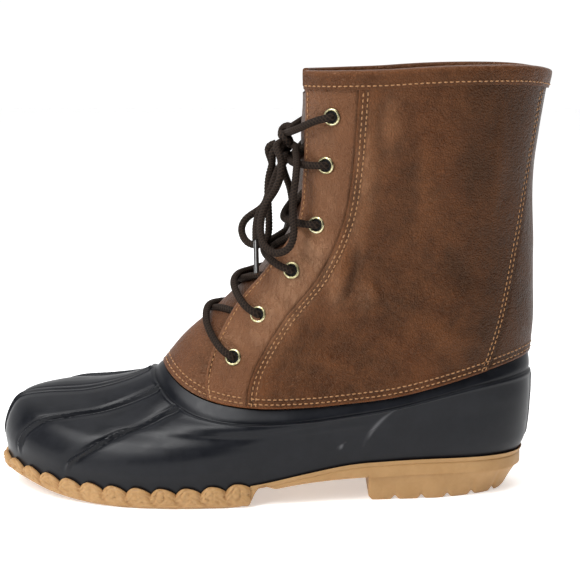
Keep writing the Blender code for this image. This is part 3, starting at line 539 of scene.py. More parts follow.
def cloud_group():
    """Soft patches of three sizes as one mask, for uneven dye, dust and sheen."""
    group, start, finish = node_group("soft_patches", {"Size": 30.0}, ("Mask",))
    place = object_vector(group)
    total = None
    for factor, weight in ((1.0, 0.5), (2.7, 0.3), (9.0, 0.2)):
        scale = times(group, start.outputs["Size"], factor)
        part = times(group, noise_node(group, place, scale, 2.0), weight)
        total = part if total is None else plus(group, total, part)
    group.links.new(range_node(group, total, 0.34, 0.66), finish.inputs["Mask"])
    return group


def wrinkle_group():
    """Drawn wrinkles: ridged noise of two sizes, stretched along one slant.

    Ridged noise is the distance of the noise from its middle.
    """
    group, start, finish = node_group("drawn_wrinkles", {"Scale": 150.0}, ("Height",))
    place = object_vector(group)
    total = None
    for turn, stretch, factor, weight in ((0.7, 0.45, 1.0, 0.6), (-0.5, 0.6, 2.3, 0.4)):
        slanted = add_node(group, "Mapping", {"Vector": place, "Rotation": (0.0, turn, 0.0),
                                              "Scale": (1.0, 1.0, stretch)}).outputs["Vector"]
        scale = times(group, start.outputs["Scale"], factor)
        fac = noise_node(group, slanted, scale, 4.0, 0.6)
        away = math_node(group, "ABSOLUTE", math_node(group, "SUBTRACT", fac, 0.5))
        part = times(group, range_node(group, away, 0.0, 0.10), weight)
        total = part if total is None else plus(group, total, part)
    group.links.new(total, finish.inputs["Height"])
    return group


GRAIN = grain_group()
WRINKLES = wrinkle_group()
PATCHES = cloud_group()


def new_finish(name, roughness, coat=0.0, sheen=0.0, metallic=0.0, specular=0.5):
    """Material with a Principled shader; constants sit on the shader's own sockets."""
    finish = bpy.data.materials.new(name)
    finish.use_nodes = True
    shader = finish.node_tree.nodes["Principled BSDF"]
    for label, value in (("Roughness", roughness), ("Coat Weight", coat),
                         ("Coat Roughness", 0.35), ("Sheen Weight", sheen),
                         ("Metallic", metallic), ("Specular IOR Level", specular)):
        shader.inputs[label].default_value = value
    return finish, finish.node_tree, shader


def dress(tree, shader, tone, height, distance, strength=1.0):
    """Give the shader its colour and a bump."""
    bump = add_node(tree, "Bump", {"Distance": distance, "Strength": strength, "Height": height})
    tree.links.new(bump.outputs["Normal"], shader.inputs["Normal"])
    tree.links.new(tone, shader.inputs["Base Color"])


def darker(colour, share):
    return tuple(c * share for c in colour)


def leather_finish(name, light, middle, dark, roughness, grain_scale):
    """Waxed leather: three browns in patches, paler with wear and painted highlights, darker with
    painted shade, with grain.

    Where the front attribute is 1 it is paler and glossier, with drawn wrinkles.
    """
    finish, tree, shader = new_finish(name, roughness, specular=0.36)
    shader.inputs["Specular Tint"].default_value = (1.0, 0.66, 0.44, 1.0)
    grain = use_group(tree, GRAIN, Scale=grain_scale).outputs
    wide = use_group(tree, PATCHES, Size=22.0).outputs["Mask"]
    fine = use_group(tree, PATCHES, Size=75.0).outputs["Mask"]
    wrinkle = use_group(tree, WRINKLES, Scale=210.0).outputs["Height"]
    front = attribute(tree, "front")
    tone = mix_colour(tree, wide, dark, middle)
    for mask, weight, colour in (
            (fine, 0.45, light),
            # Paler with wear and with painted highlights
            (attribute(tree, "wear_and_painted_highlight"), 0.75, light),
            # Painted shade, and darker towards the back
            (attribute(tree, "darkening_and_painted_shade"), 0.75, darker(dark, 0.35)),
            (grain["Creases"], 0.30, darker(dark, 0.45)),
            (front, 0.42, (0.20, 0.086, 0.042)),
            # Painted highlights, as flecks on the wrinkles
            (attribute(tree, "sheen"), range_node(tree, wrinkle, 0.20, 1.0, 0.45, 0.95),
             (0.40, 0.235, 0.140)),
            # Painted highlight along the leather's lower edge
            (attribute(tree, "painted_hem_highlight"), 0.6, (0.21, 0.065, 0.020))):
        tone = mix_colour(tree, times(tree, mask, weight), tone, colour)
    rough = plus(tree, times(tree, fine, 0.16), roughness - 0.05)
    rough = math_node(tree, "SUBTRACT", rough, times(tree, front, 0.06))
    tree.links.new(rough, shader.inputs["Roughness"])
    drawn = times(tree, wrinkle, plus(tree, times(tree, front, 0.9), 0.4))
    dress(tree, shader, tone, plus(tree, grain["Height"], drawn), 0.00026)
    return finish


def rubber_finish():
    """Moulded rubber: near black with a blue cast, satin, with faint dust and scuffs."""
    finish, tree, shader = new_finish("dark_rubber", 0.40, specular=0.19)
    dust = use_group(tree, PATCHES, Size=60.0).outputs["Mask"]
    tone = mix_colour(tree, dust, (0.0052, 0.0058, 0.0078), (0.0085, 0.0092, 0.0120))
    tone = mix_colour(tree, times(tree, attribute(tree, "scuff"), 0.22), tone,
                      (0.42, 0.42, 0.44))
    tree.links.new(range_node(tree, dust, 0.0, 1.0, 0.29, 0.38), shader.inputs["Roughness"])
    dress(tree, shader, tone, noise_node(tree, object_vector(tree), 2600.0, 2.0), 0.00003, 0.6)
    return finish


def gum_finish():
    """Gum rubber: caramel with paler bloom, with painted shade in its grooves and between its
    cobbles.
    """
    finish, tree, shader = new_finish("gum_rubber", 0.55, specular=0.3)
    bloom = use_group(tree, PATCHES, Size=60.0).outputs["Mask"]
    tone = mix_colour(tree, bloom, (0.365, 0.208, 0.082), (0.415, 0.244, 0.103))
    # Painted shade where the groove attribute is high
    tone = mix_colour(tree, times(tree, attribute(tree, "groove"), 0.65), tone,
                      (0.235, 0.105, 0.034))
    shader.inputs["Subsurface Weight"].default_value = 0.08
    shader.inputs["Subsurface Radius"].default_value = (0.004, 0.002, 0.001)
    shader.inputs["Subsurface Scale"].default_value = 1.0
    dress(tree, shader, tone, noise_node(tree, object_vector(tree), 900.0), 0.0001, 0.7)
    return finish


def cloth_finish(name, colour, scale):
    """Plain woven cloth: threads over and under, by sines in two directions."""
    finish, tree, shader = new_finish(name, 0.9, sheen=0.2, specular=0.2)
    split = add_node(tree, "SeparateXYZ", {0: object_vector(tree)}).outputs
    weave = times(tree, *(math_node(tree, "SINE", times(tree, split[axis], scale))
                          for axis in "ZX"))
    tone = mix_colour(tree, range_node(tree, weave, -1.0, 1.0), darker(colour, 0.6), colour)
    dress(tree, shader, tone, weave, 0.0003, 0.8)
    return finish


def brass_finish():
    """Antique brass: bright and smooth where it is rubbed, brown and duller elsewhere."""
    finish, tree, shader = new_finish("antique_brass", 0.28, metallic=1.0)
    wear = noise_node(tree, object_vector(tree), 700.0)
    tone = mix_colour(tree, range_node(tree, wear, 0.35, 0.65), (0.30, 0.265, 0.13),
                      (0.62, 0.57, 0.36))
    tree.links.new(range_node(tree, wear, 0.3, 0.7, 0.35, 0.22), shader.inputs["Roughness"])
    dress(tree, shader, tone, wear, 0.00005, 0.5)
    return finish


def thread_finish(name, colour):
    """Sewing thread with a fine fuzz."""
    finish, tree, shader = new_finish(name, 0.7, sheen=0.3, specular=0.3)
    fuzz = noise_node(tree, object_vector(tree), 3500.0, 2.0)
    tone = mix_colour(tree, range_node(tree, fuzz, 0.35, 0.65), darker(colour, 0.62), colour)
    dress(tree, shader, tone, fuzz, 0.0002, 0.8)
    return finish


def lace_finish():
    """Round braid, dark brown, with painted highlights on the crowns of its strands and painted
    shade between them.
    """
    finish, tree, shader = new_finish("braided_lace", 0.75, specular=0.12)
    fuzz = noise_node(tree, object_vector(tree), 4200.0, 2.0)
    # Painted light and shade of the braid: dark between the strands, paler on their crowns
    tone = mix_colour(tree, range_node(tree, attribute(tree, "braid_crown_light"), 0.2, 1.0),
                      (0.0045, 0.0030, 0.0024), (0.034, 0.0215, 0.0150))
    tone = mix_colour(tree, times(tree, fuzz, 0.25), tone, (0.045, 0.030, 0.021))
    dress(tree, shader, tone, fuzz, 0.00015)
    return finish


def plastic_tip_finish():
    finish, tree, shader = new_finish("lace_tip", 0.16, coat=0.5)
    swirl = noise_node(tree, object_vector(tree), 1200.0, 2.0)
    tone = mix_colour(tree, swirl, (0.006, 0.005, 0.005), (0.02, 0.017, 0.015))
    dress(tree, shader, tone, swirl, 0.00004, 0.4)
    return finish


RUBBER = rubber_finish()
GUM = gum_finish()
SHAFT_LEATHER = leather_finish("shaft_leather", (0.140, 0.050, 0.0175), (0.062, 0.0180, 0.0056),
                               (0.030, 0.0098, 0.0038), 0.36, 700.0)
EYESTAY_LEATHER = leather_finish("vamp_leather", (0.160, 0.066, 0.030), (0.100, 0.036, 0.0150),
                                 (0.062, 0.022, 0.0095), 0.42, 560.0)
LINING = cloth_finish("shaft_lining", (0.15, 0.085, 0.050), 5200.0)
FOOT_CLOTH = cloth_finish("foot_cloth", (0.10, 0.085, 0.07), 4200.0)
BRASS = brass_finish()
THREAD = thread_finish("tan_thread", (0.42, 0.205, 0.075))
LACE = lace_finish()
LACE_TIP = plastic_tip_finish()
HOLE_SHADE = cloth_finish("hole_shade", (0.004, 0.003, 0.003), 3000.0)


# Rubber foot

def rib_relief(distance):
    """A ridge with a shallow groove on each side and a softly raised panel beyond, in mm."""
    return (RIB_HEIGHT * bump_of(distance, 1.0)
            - RIB_GROOVE * bump_of(np.abs(distance) - 2.3, 1.0)
            + PANEL_RISE * (1 - bump_of(distance, 6.0)))


def rubber_relief(theta, v):
    """Height of the rubber over the last: ribs, collar band and the strip up the heel."""
    side = mirrored(theta)
    scale = per_degree(theta, v) / MM
    toe = 1 - ramp(side, 70.0, 105.0)
    live = ramp(v, 0.45, 1.1) * (1 - ramp(v, BAND - 0.14, BAND - 0.02))
    lines = (0.0, rib_angle(1, v), rib_angle(2, v))
    ribs = np.min([np.abs(side - line) * scale for line in lines] + [np.full_like(scale, 9.0)],
                  axis=0)
    height = rib_relief(ribs) * live * toe
    from_edge = (v - BAND) * per_row(theta, v) / MM
    height += BAND_BEAD * bump_of(from_edge + 1.3, 1.0)
    sunk = ramp(from_edge, -0.4, 0.5)
    across_band = np.clip((v - BAND) / (JOINT - BAND), 0.0, 1.0)
    roll = BAND_ROLL * np.sin(np.pi * np.clip(across_band * 1.05, 0, 1)) ** 0.8 - BAND_SINK
    height = height * (1 - sunk) + roll * sunk
    strip = bump_of(np.maximum(np.abs(180.0 - side) * scale - STRIP_HALF_WIDTH, 0.0), 0.5)
    strip *= ramp(v, 0.8, 1.4) * (1 - ramp(v, BAND - 0.5, BAND - 0.2))
    height += STRIP_HEIGHT * strip
    return height * MM


# Light scuffs on the outer side: start and end in mm from the origin, and their bow
SCUFFS = (
    (52.0, 34.0, 68.0, 54.0, 2.2),
    (38.0, 31.0, 40.5, 35.0, 0.3),
)


def line_mark(points, x0, z0, x1, z1, bow, width):
    """1 on a bowed line in the boot's side view, falling off across it and at its ends."""
    x, z = points[..., 0] / MM, points[..., 2] / MM
    length = math.hypot(x1 - x0, z1 - z0)
    ux, uz = (x1 - x0) / length, (z1 - z0) / length
    along = ((x - x0) * ux + (z - z0) * uz) / length
    across = -(x - x0) * uz + (z - z0) * ux - bow * 4 * along * (1 - along)
    inside = np.clip(along, 0.0, 1.0)
    beyond = (along - inside) * length
    taper = 0.35 + 0.65 * np.sin(np.pi * inside)
    return np.exp(-(across / (width * taper)) ** 2 - (beyond / (1.5 * width)) ** 2) * taper


def make_rubber_foot():
    angles = both_sides(np.concatenate([np.linspace(0, 75, 165), np.linspace(75.5, 180, 190)]))
    top = JOINT - 0.03
    rows = np.concatenate([np.linspace(0, 6.6, 84), np.linspace(6.66, top, 40)])
    theta, v = np.meshgrid(angles, rows)
    outer = skin(theta, v, rubber_relief(theta, v))
    theta, v = np.meshgrid(angles, np.linspace(0, top, 12))
    inner = skin(theta, v, np.full(theta.shape, -RUBBER_WALL))
    foot = wall_piece("rubber_foot", outer, inner, True, RUBBER, FOOT_CLOTH)
    scuff = np.max([line_mark(outer, *line, 0.80) for line in SCUFFS], axis=0)
    add_field(foot, "scuff", scuff * (outer[..., 1] < 0), np.zeros(inner.shape[:2]))
    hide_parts("rubber_shell")


# Gum sole

def theta_at(x, v):
    """Angle on the outer side where loop v passes x, from the cosine of the loop."""
    front, back = last(0.0, v)[0], last(180.0, v)[0]
    return np.degrees(np.arccos(np.clip(1 - 2 * (x - front) / (back - front), -1, 1)))


def sole_columns():
    """Angles of the outer side's columns, with the count of cobbles passed at each."""
    fine = np.linspace(0.0, float(theta_at(FOREFOOT, 0.0)), 600)
    length = distance_along(last(fine, 0.0))
    steps = SCALLOPS * 28
    forefoot = np.interp(np.linspace(0, length[-1], steps + 1), length, fine)
    xs = np.concatenate([np.linspace(FOREFOOT, BREAST, 60)[1:-1],
                         [BREAST - 0.0002, BREAST + 0.0002],
                         np.linspace(BREAST, last(180.0, 0.0)[0] - 0.03, 110)[1:]])
    middle = theta_at(xs, 0.0)
    rear = np.linspace(middle[-1], 180.0, 70)[1:]
    counts = np.concatenate([np.linspace(0, SCALLOPS, steps + 1),
                             np.full(len(middle) + len(rear), float(SCALLOPS))])
    return np.concatenate([forefoot, middle, rear]), counts


def cobble_top(phase):
    """Outline of a cobble, 0 in the valley and 1 on its top, steep before and slow after."""
    rise = np.sin(0.5 * np.pi * np.clip(phase / 0.36, 0, 1)) ** 0.75
    fall = np.cos(0.5 * np.pi * np.clip((phase - 0.36) / 0.64, 0, 1)) ** 0.75
    return np.where(phase < 0.36, rise, fall)


def cobble_relief(phase, number, share):
    """Relief of the chain edge, in mm: a swelling lump with a curled groove in it.

    The lump is a product of the outline and a rounded height; the grooves between lumps
    lean forward as they go down, and each lump has a hooked line and a small dimple.
    """
    lean = np.mod(phase + 0.16 * np.sin(np.pi * share) - 0.22 * (1 - share), 1.0)
    between = np.minimum(lean, 1 - lean)
    lump = 0.95 * (1 - np.exp(-(between / 0.13) ** 1.5)) * np.sin(np.pi * (0.12 + 0.76 * share))
    turn = 0.9 * np.sin(number * 2.4)
    hook = np.abs(np.hypot(lean - 0.42 - 0.05 * turn, (share - 0.62) * 0.55) - 0.17)
    groove = 0.42 * bump_of(hook, 0.035) * (share > 0.25) * (lean > 0.18 - 0.04 * turn)
    dimple = 0.35 * np.exp(-((lean - 0.62) ** 2 + (share - 0.32 - 0.06 * turn) ** 2) / 0.006)
    knob = 0.30 * np.exp(-((lean - 0.40) ** 2 + (share - 0.60) ** 2) / 0.005)
    along, up = (number + phase) * 14.2, share * 14.0
    lumps = np.sin(along * 0.95 + 1.6 * np.sin(up * 0.55 + number)) \
        * np.sin(up * 0.80 + 1.2 * np.sin(along * 0.45))
    fine = np.sin(along * 2.3 + np.sin(up * 1.3)) * np.sin(up * 1.9 + number)
    fade = np.sin(np.pi * np.clip(share, 0.02, 0.98)) ** 0.5
    return lump - groove - dimple + knob + (0.38 * lumps + 0.13 * fine) * fade


def make_gum_sole():
    """Rings from the tread up to the lip, then inside the rubber foot, closed top and bottom."""
    half, counts = sole_columns()
    angles = both_sides(half)
    counts = np.concatenate([counts, counts[-2:0:-1]])
    columns = len(angles)
    edge = last(angles, 0.0)
    flat = outward(angles, 0.0).copy()
    flat[:, 2] = 0.0
    flat /= np.linalg.norm(flat, axis=1, keepdims=True)
    x = edge[:, 0]
    seat, tread = seat_height(x), tread_height(x)
    forefoot = counts < SCALLOPS - 1e-6
    heel = x > BREAST
    phase, number = np.mod(counts, 1.0), np.floor(counts)
    top = np.where(forefoot, cobble_top(phase), 0.0)
    fade = 1 - ramp(x, FOREFOOT - 0.002, FOREFOOT + 0.004)
    lip = seat + np.where(forefoot, CHAIN_LIP + COBBLE_RISE * top, PLAIN_LIP)
    wall = RUBBER_PLAY + np.where(forefoot, CHAIN_REACH, PLAIN_REACH)
    lug = np.mod((x - BREAST) / HEEL_LUG_PITCH, 1.0)
    in_lugs = heel & (x < BREAST + (HEEL_LUGS + 0.4) * HEEL_LUG_PITCH)
    notch = np.where(in_lugs, bump_of(np.minimum(lug, 1 - lug), 0.10), 0.0)
    low = np.where(heel, LUG_NOTCH * notch, tread)
    back = np.maximum(0.0, -np.cos(np.radians(mirrored(angles))) * 3.0 - 2.0)
    bottom_inset = np.where(heel, (3.0 + 6.5 * back) * MM, 1.6 * MM)
    step_inset = np.where(heel, 1.1 * MM, 0.35 * MM)
    step_z = np.where(heel, seat - HEEL_BAND, tread + 1.2 * MM)
    upper_z = np.where(heel, seat - HEEL_BAND + 0.35 * MM, tread + 1.5 * MM)
    lean = lean_of_wall(angles)
    rings, groove_shades = [], []

    def add_ring(out, z, groove):
        ring = edge + flat * out[:, None]
        ring[:, 2] = z
        rings.append(ring)
        groove_shades.append(np.broadcast_to(groove, columns))

    for share in np.linspace(0, 1, 9):
        bevel = 0.8 * MM * (1 - ramp(share, 0.0, 0.16))
        inset = step_inset + (bottom_inset - step_inset) * (1 - share) ** 0.8
        add_ring(wall - inset - bevel * heel, low + (step_z - low) * share, 0.0)
    for share in np.linspace(0, 1, 26):
        z = upper_z + (lip - upper_z) * share
        relief = cobble_relief(phase, number, np.full(columns, share)) * fade * forefoot
        round_top = 0.9 * MM * ramp(share, 0.86, 1.0) * forefoot
        band_line = 0.35 * MM * bump_of((lip - z) / MM - 2.6, 0.35) * (~forefoot)
        inset = step_inset * (1 - ramp(share, 0.0, 0.04)) + round_top \
            - np.maximum(z - seat, 0.0) * lean - relief * MM + band_line
        # Painted shade between the cobbles, deeper where their relief is low
        add_ring(wall - inset, z, np.clip(0.55 - relief, 0, 1) * forefoot * fade)
    # Two rings tucked inside the rubber foot, with painted shade
    for z in (lip - 0.1 * MM, seat - 0.3 * MM):
        play = np.where(forefoot, RUBBER_PLAY, 0.75 * MM)
        add_ring(play + np.maximum(z - seat, 0) * lean, z, 0.6)
    points = np.concatenate(rings)
    faces = grid_faces(0, len(rings), columns, True)
    tread_rows, tread_faces, tread_groove_shade = tread_grid(rings[0], x, heel, notch, len(points))
    faces += tread_faces
    base, end = (len(rings) - 1) * columns, columns // 2
    for j in range(1, end - 1):
        faces.append((base + j, base + j + 1, base + columns - j - 1, base + columns - j))
    faces += [(base, base + 1, base + columns - 1), (base + end - 1, base + end, base + end + 1)]
    points = frame_point(np.concatenate([points, tread_rows]))
    sole = mesh_piece("gum_sole", points, faces, GUM)
    add_field(sole, "groove", *groove_shades, tread_groove_shade)
    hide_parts("outsole")


def lean_of_wall(angles):
    """How far the rubber leans outward for each metre it rises just above the sole."""
    low, high = last(angles, 0.0), last(angles, 0.4)
    out = np.linalg.norm((high - low)[:, :2], axis=1)
    sign = np.sign(np.sum((high - low)[:, :2] * outward(angles, 0.0)[:, :2], axis=1))
    return np.clip(sign * out / np.maximum(high[:, 2] - low[:, 2], 1e-4), -0.2, 0.9)


def tread_grid(ring, x, heel, notch, start):
    """Underside between mirrored columns: wavy bars on the forefoot, lugs on the heel.

    Across the boot the share w runs from the outer column to the inner one.
    """
    columns = len(ring)
    half = columns // 2
    outer, inner = ring[1:half], ring[:half:-1]
    x, heel, notch = x[1:half][None], heel[1:half][None], notch[1:half][None]
    w = np.linspace(0, 1, 27)[1:-1, None]
    line = outer[None] + (inner - outer)[None] * w[..., None]
    across = (w - 0.5) * np.linalg.norm(inner - outer, axis=1)[None]
    along = x + BAR_WAVE * np.sin(across / WAVE_WIDTH)
    bars = bump_of(np.mod(along / BAR_PITCH, 1.0) - 0.5, 0.17)
    inside = ramp(w, 0.02, 0.09) * (1 - ramp(w, 0.91, 0.98))
    pads = bump_of(np.abs(across) - 0.012, 0.0022) * inside
    depth = BAR_DEPTH * bars * inside * (1 - ramp(x, 0.138, 0.146)) * ~heel \
        + PAD_DEPTH * pads * heel * (1 - notch)
    rail = bump_of(np.abs(across) - 0.016, 0.0012) * ((x > 0.150) & ~heel)
    line[..., 2] += depth + RAIL_DEPTH * rail
    grid = np.arange(depth.size).reshape(depth.shape) + start
    full = np.concatenate([np.arange(1, half)[None], grid,
                           np.arange(columns - 1, half, -1)[None]])
    quads = np.stack([full[:-1, :-1], full[1:, :-1], full[1:, 1:], full[:-1, 1:]], -1)
    faces = quads.reshape(-1, 4).tolist()
    for tip, column in ((0, 0), (half, -1)):
        faces += [(tip, int(a), int(b)) for a, b in zip(full[:-1, column], full[1:, column])]
    # Painted shade in the deep grooves of the tread
    return line.reshape(-1, 3), faces, (depth > 0.6 * MM) * 0.5


# Leather

STITCH_PITCH = 0.0031
ROWS_OVER_HEM = (2.9, 5.6)       # stitch rows above the leather's lower edge, in mm
ROWS_ON_QUARTER = (2.6, 5.0)     # behind the quarter's front edge
ROWS_ON_BACK = (1.9, 4.2)        # ahead of the quarter's rear edge
ROW_ON_EYESTAY = 2.4


# Creases of the outer side: start, end and bow in mm from the origin, then
# height in mm (troughs are negative) and width
CREASES = (
    (40, 146, 32, 112, 2.0, 0.95, 4.5), (47, 146, 40, 112, 2.0, -0.85, 3.0),
    (32, 140, 26, 122, 1.0, -0.55, 2.5), (44, 134, 39, 119, -1.0, 0.55, 2.2),
    (52, 126, 58, 112, 1.0, 0.60, 2.4), (56, 128, 62, 114, 1.0, -0.50, 2.2),
    (16, 151, 29, 139, 0.8, 0.55, 1.8), (12, 147, 26, 133, -0.8, -0.45, 1.5),
    (12, 140, 27, 122, 1.5, 0.65, 2.2), (10, 133, 20, 121, 0.5, -0.40, 1.5),
    (-4, 116, 16, 91, 3.0, 0.60, 3.0), (2, 118, 22, 96, 2.5, -0.45, 2.0),
    (-11, 97, 8, 87, 1.2, 0.50, 2.5), (-18, 92, 2, 80, 1.5, -0.35, 2.0),
    (64, 226, 65, 196, 0.5, 0.55, 5.0), (73, 226, 76, 180, 1.0, -0.45, 5.0),
    (54, 205, 51, 168, -1.0, 0.60, 5.0), (58, 170, 50, 140, -2.0, 0.45, 5.0),
    (69, 198, 76, 146, 2.0, -0.50, 6.0), (84, 190, 92, 128, -3.0, 0.45, 9.0),
    (91, 145, 110, 112, 3.0, -0.45, 8.0), (80, 101, 112, 90, -2.0, 0.40, 6.0),
    (14, 84, 46, 75, 1.5, 0.45, 5.0), (104, 212, 108, 158, 2.0, -0.35, 8.0),
    (124, 218, 121, 160, 1.0, 0.40, 4.0), (60, 112, 74, 86, 3.0, -0.40, 6.0),
    (28, 205, 26, 172, 1.0, 0.35, 4.0), (22, 190, 44, 186, -1.0, -0.25, 3.0),
    (-16, 110, -4, 98, 1.0, 0.40, 2.2), (-24, 92, -10, 84, 1.0, 0.35, 2.2),
)

# Painted highlights of the outer side: middle in mm from the origin, half sizes, strength
PAINTED_HIGHLIGHTS = (
    (22, 140, 11, 14, 0.42), (12, 122, 10, 11, 0.36), (2, 107, 12, 10, 0.34),
    (-8, 92, 11, 8, 0.22), (26, 204, 12, 20, 0.14), (52, 184, 5, 22, 0.22),
    (65, 210, 7, 18, 0.12), (36, 118, 5, 11, 0.20), (51, 116, 5, 8, 0.14),
    (-24, 90, 8, 9, 0.18), (30, 170, 8, 16, 0.16), (46, 152, 5, 16, 0.14),
)


def painted_highlight_mask(points):
    """Strength of the painted highlights, each a bell over an ellipse."""
    x, z = points[..., 0] / MM, points[..., 2] / MM
    total = sum(strength * np.exp(-((x - x0) / rx) ** 2 - ((z - z0) / rz) ** 2)
                for x0, z0, rx, rz, strength in PAINTED_HIGHLIGHTS)
    return np.clip(total, 0.0, 1.0) * (points[..., 1] < 0)


def crease_height(points):
    """Sum of the creases and a slow unevenness of the leather, in mm."""
    total = sum(1.5 * height * line_mark(points, *line, width)
                for *line, height, width in CREASES)
    x, y, z = (points[..., k] / MM for k in range(3))
    slow = np.sin(x / 17 + 0.8 * np.sin(z / 23)) * np.sin(z / 19 + 1.1 * np.sin(x / 27 + y / 31))
    quick = np.sin(x / 7.3 + z / 9.1 + np.sin(z / 11)) * np.sin(z / 8.1 - x / 12 + y / 10)
    return total + 0.30 * slow + 0.09 * quick


def leather_relief(theta, v):
    """Height of the leather over the last, in metres, and its masks by name.

    Each line of stitches lies in a channel, and the thread pulls the leather in at each stitch.
    """
    side = mirrored(theta)
    scale = per_degree(theta, v) / MM
    from_quarter = (side - seam("quarter", v)) * scale
    from_back = (seam("backstay", v) - side) * scale
    from_edge = (side - seam("eyestay", v)) * scale
    from_hem = (v - JOINT) * per_row(theta, v) / MM
    panel = ramp(from_quarter, -0.15, 0.55) * ramp(from_back, -0.15, 0.55)
    height = (QUARTER_RISE + QUARTER_PAD * bump_of(from_quarter - 8.0, 3.2)) * panel
    darkening_and_painted_shade = np.zeros_like(height)
    # A groove along each seam, with painted shade in it
    for distance in (from_quarter, from_back):
        height -= PANEL_GROOVE * bump_of(distance + 0.7, 0.7)
        darkening_and_painted_shade += 0.7 * bump_of(distance + 0.5, 0.5)
    run = frame_point(last(theta, v)) / MM
    pull = THREAD_PULL * np.cos(2 * np.pi * run * MM / STITCH_PITCH)
    # Distance from the edge, the rows' offsets, depth of the channels, painted shade in them, pull
    for distance, offsets, depth, shade, pulled in (
            (from_quarter, ROWS_ON_QUARTER, 0.32, 0.75, pull[..., 2]),
            (from_back, ROWS_ON_BACK, 0.32, 0.75, 0.0),
            (from_hem, ROWS_OVER_HEM, 0.28, 0.5, pull[..., 0]),
            (from_edge, (ROW_ON_EYESTAY,), 0.28, 0.0, 0.0)):
        for offset in offsets:
            height -= depth * bump_of(distance - offset, 0.75)
            height -= pulled * bump_of(distance - offset, 1.3)
            darkening_and_painted_shade += shade * bump_of(distance - offset, 0.55)
    height -= 0.5 * (1 - ramp(from_hem, 0.0, 1.0)) + 0.35 * (1 - ramp(from_edge, 0.0, 0.8))
    folds = crease_height(run * MM) * ramp(from_hem, 1.0, 9.0) * ramp(COLLAR - v, 0.1, 0.6)
    # Paler where worn along the quarter's and the eyestay's edges, with a painted highlight over
    # the pad beside the quarter seam and on the crests of the folds
    wear_and_painted_highlight = 0.8 * bump_of(from_quarter - 0.4, 0.6) + 0.8 * bump_of(from_edge - 0.4, 0.7) \
        + 0.5 * bump_of(from_quarter - 8.5, 3.5) + np.clip(folds / 0.9 - 0.15, 0.0, 0.85)
    # Darker towards the back of the boot, with painted shade in the troughs of the folds
    darkening_and_painted_shade += 0.60 * ramp(run[..., 0], 88.0, 124.0) + np.clip(-folds / 1.1 - 0.12, 0.0, 0.75)
    return (height + folds) * MM, {
        "wear_and_painted_highlight": np.clip(wear_and_painted_highlight, 0, 1), "darkening_and_painted_shade": np.clip(darkening_and_painted_shade, 0, 1),
        # A painted highlight along the leather's lower edge
        "painted_hem_highlight": bump_of(from_hem - 0.2, 0.7), "front": 1 - ramp(from_quarter, -1.2, -0.4),
        # sheen holds the painted highlights, weaker where shade is painted
        "sheen": painted_highlight_mask(run * MM) * np.clip(1.0 - darkening_and_painted_shade, 0, 1)}


def panel_grid(count):
    """Angles and rows of a grid whose columns lie evenly in each panel between the seams."""
    v = np.linspace(JOINT + 0.02, COLLAR - 0.02, count)
    eyestay, quarter, backstay = (seam(n, v) for n in ("eyestay", "quarter", "backstay"))
    edges = [eyestay, quarter - 0.6, quarter + 1.4, backstay - 1.4, backstay + 0.6,
             np.full_like(v, 180.0)]
    half = [low[:, None] + (high - low)[:, None] * np.linspace(0, 1, columns + 1)[None, :-1]
            for low, high, columns in zip(edges[:-1], edges[1:], (34, 12, 62, 12, 26))]
    half = np.concatenate([*half, edges[-1][:, None]], axis=1)
    theta = np.concatenate([half, 360.0 - half[:, -2::-1]], axis=1)
    return theta, np.repeat(v[:, None], theta.shape[1], axis=1)


def make_shaft():
    theta, v = panel_grid(170)
    height, fields = leather_relief(theta, v)
    outer = skin(theta, v, height)
    theta, v = panel_grid(16)
    inner = skin(theta, v, np.full(theta.shape, -SHAFT_WALL))
    shaft = wall_piece("leather_shaft", outer, inner, False, SHAFT_LEATHER, LINING)
    for name, values in fields.items():
        add_field(shaft, name, values, np.zeros(theta.size))
    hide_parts("leather_upper")


# Tongue, binding, eyelets and stitches

def tongue_depth(theta, v):
    """Depth of the vamp and tongue leather: level with the last low down, sunk higher up."""
    low_down = 1 - ramp(v, 8.6, 10.4)
    share = np.abs(theta) / (seam("eyestay", v) + TONGUE_REACH)
    middle = 1 - ramp(share, 0.55, 0.86)
    sunk = 3.9 + 2.1 * (1 - ramp(share, 0.2, 0.85))
    level = 0.35 * middle + 2.4 * (1 - middle)
    folds = 0.35 * np.sin(v * 5.1 + np.abs(theta) * 0.03) * ramp(v, 8.7, 9.6)
    return -(sunk * (1 - low_down) + level * low_down) + folds


def make_tongue():
    rows = np.linspace(JOINT + 0.02, COLLAR - 0.4, 120)
    share = np.linspace(-1, 1, 61)
    theta = (seam("eyestay", rows) + TONGUE_REACH)[:, None] * share[None]
    v = np.repeat(rows[:, None], len(share), axis=1)
    from_hem = (v - JOINT) * per_row(theta, v) / MM
    depth = tongue_depth(theta, v)
    for offset in ROWS_OVER_HEM:
        depth = depth - 0.28 * bump_of(from_hem - offset, 0.75)
    outer = skin(theta, v, depth * MM)
    coarse = slice(None, None, 8)
    inner = skin(theta[coarse], v[coarse], (depth[coarse] - 1.6) * MM)
    tongue = wall_piece("tongue_leather", outer, inner, False, EYESTAY_LEATHER, LINING)
    blank = np.zeros(inner.shape[:2])
    add_field(tongue, "wear_and_painted_highlight", np.zeros(v.shape), blank)
    # Painted shade on the tongue, darker as it sinks under the eyestays
    add_field(tongue, "darkening_and_painted_shade", 0.95 * ramp(v, 9.0, 10.5), blank)
    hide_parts("tongue")


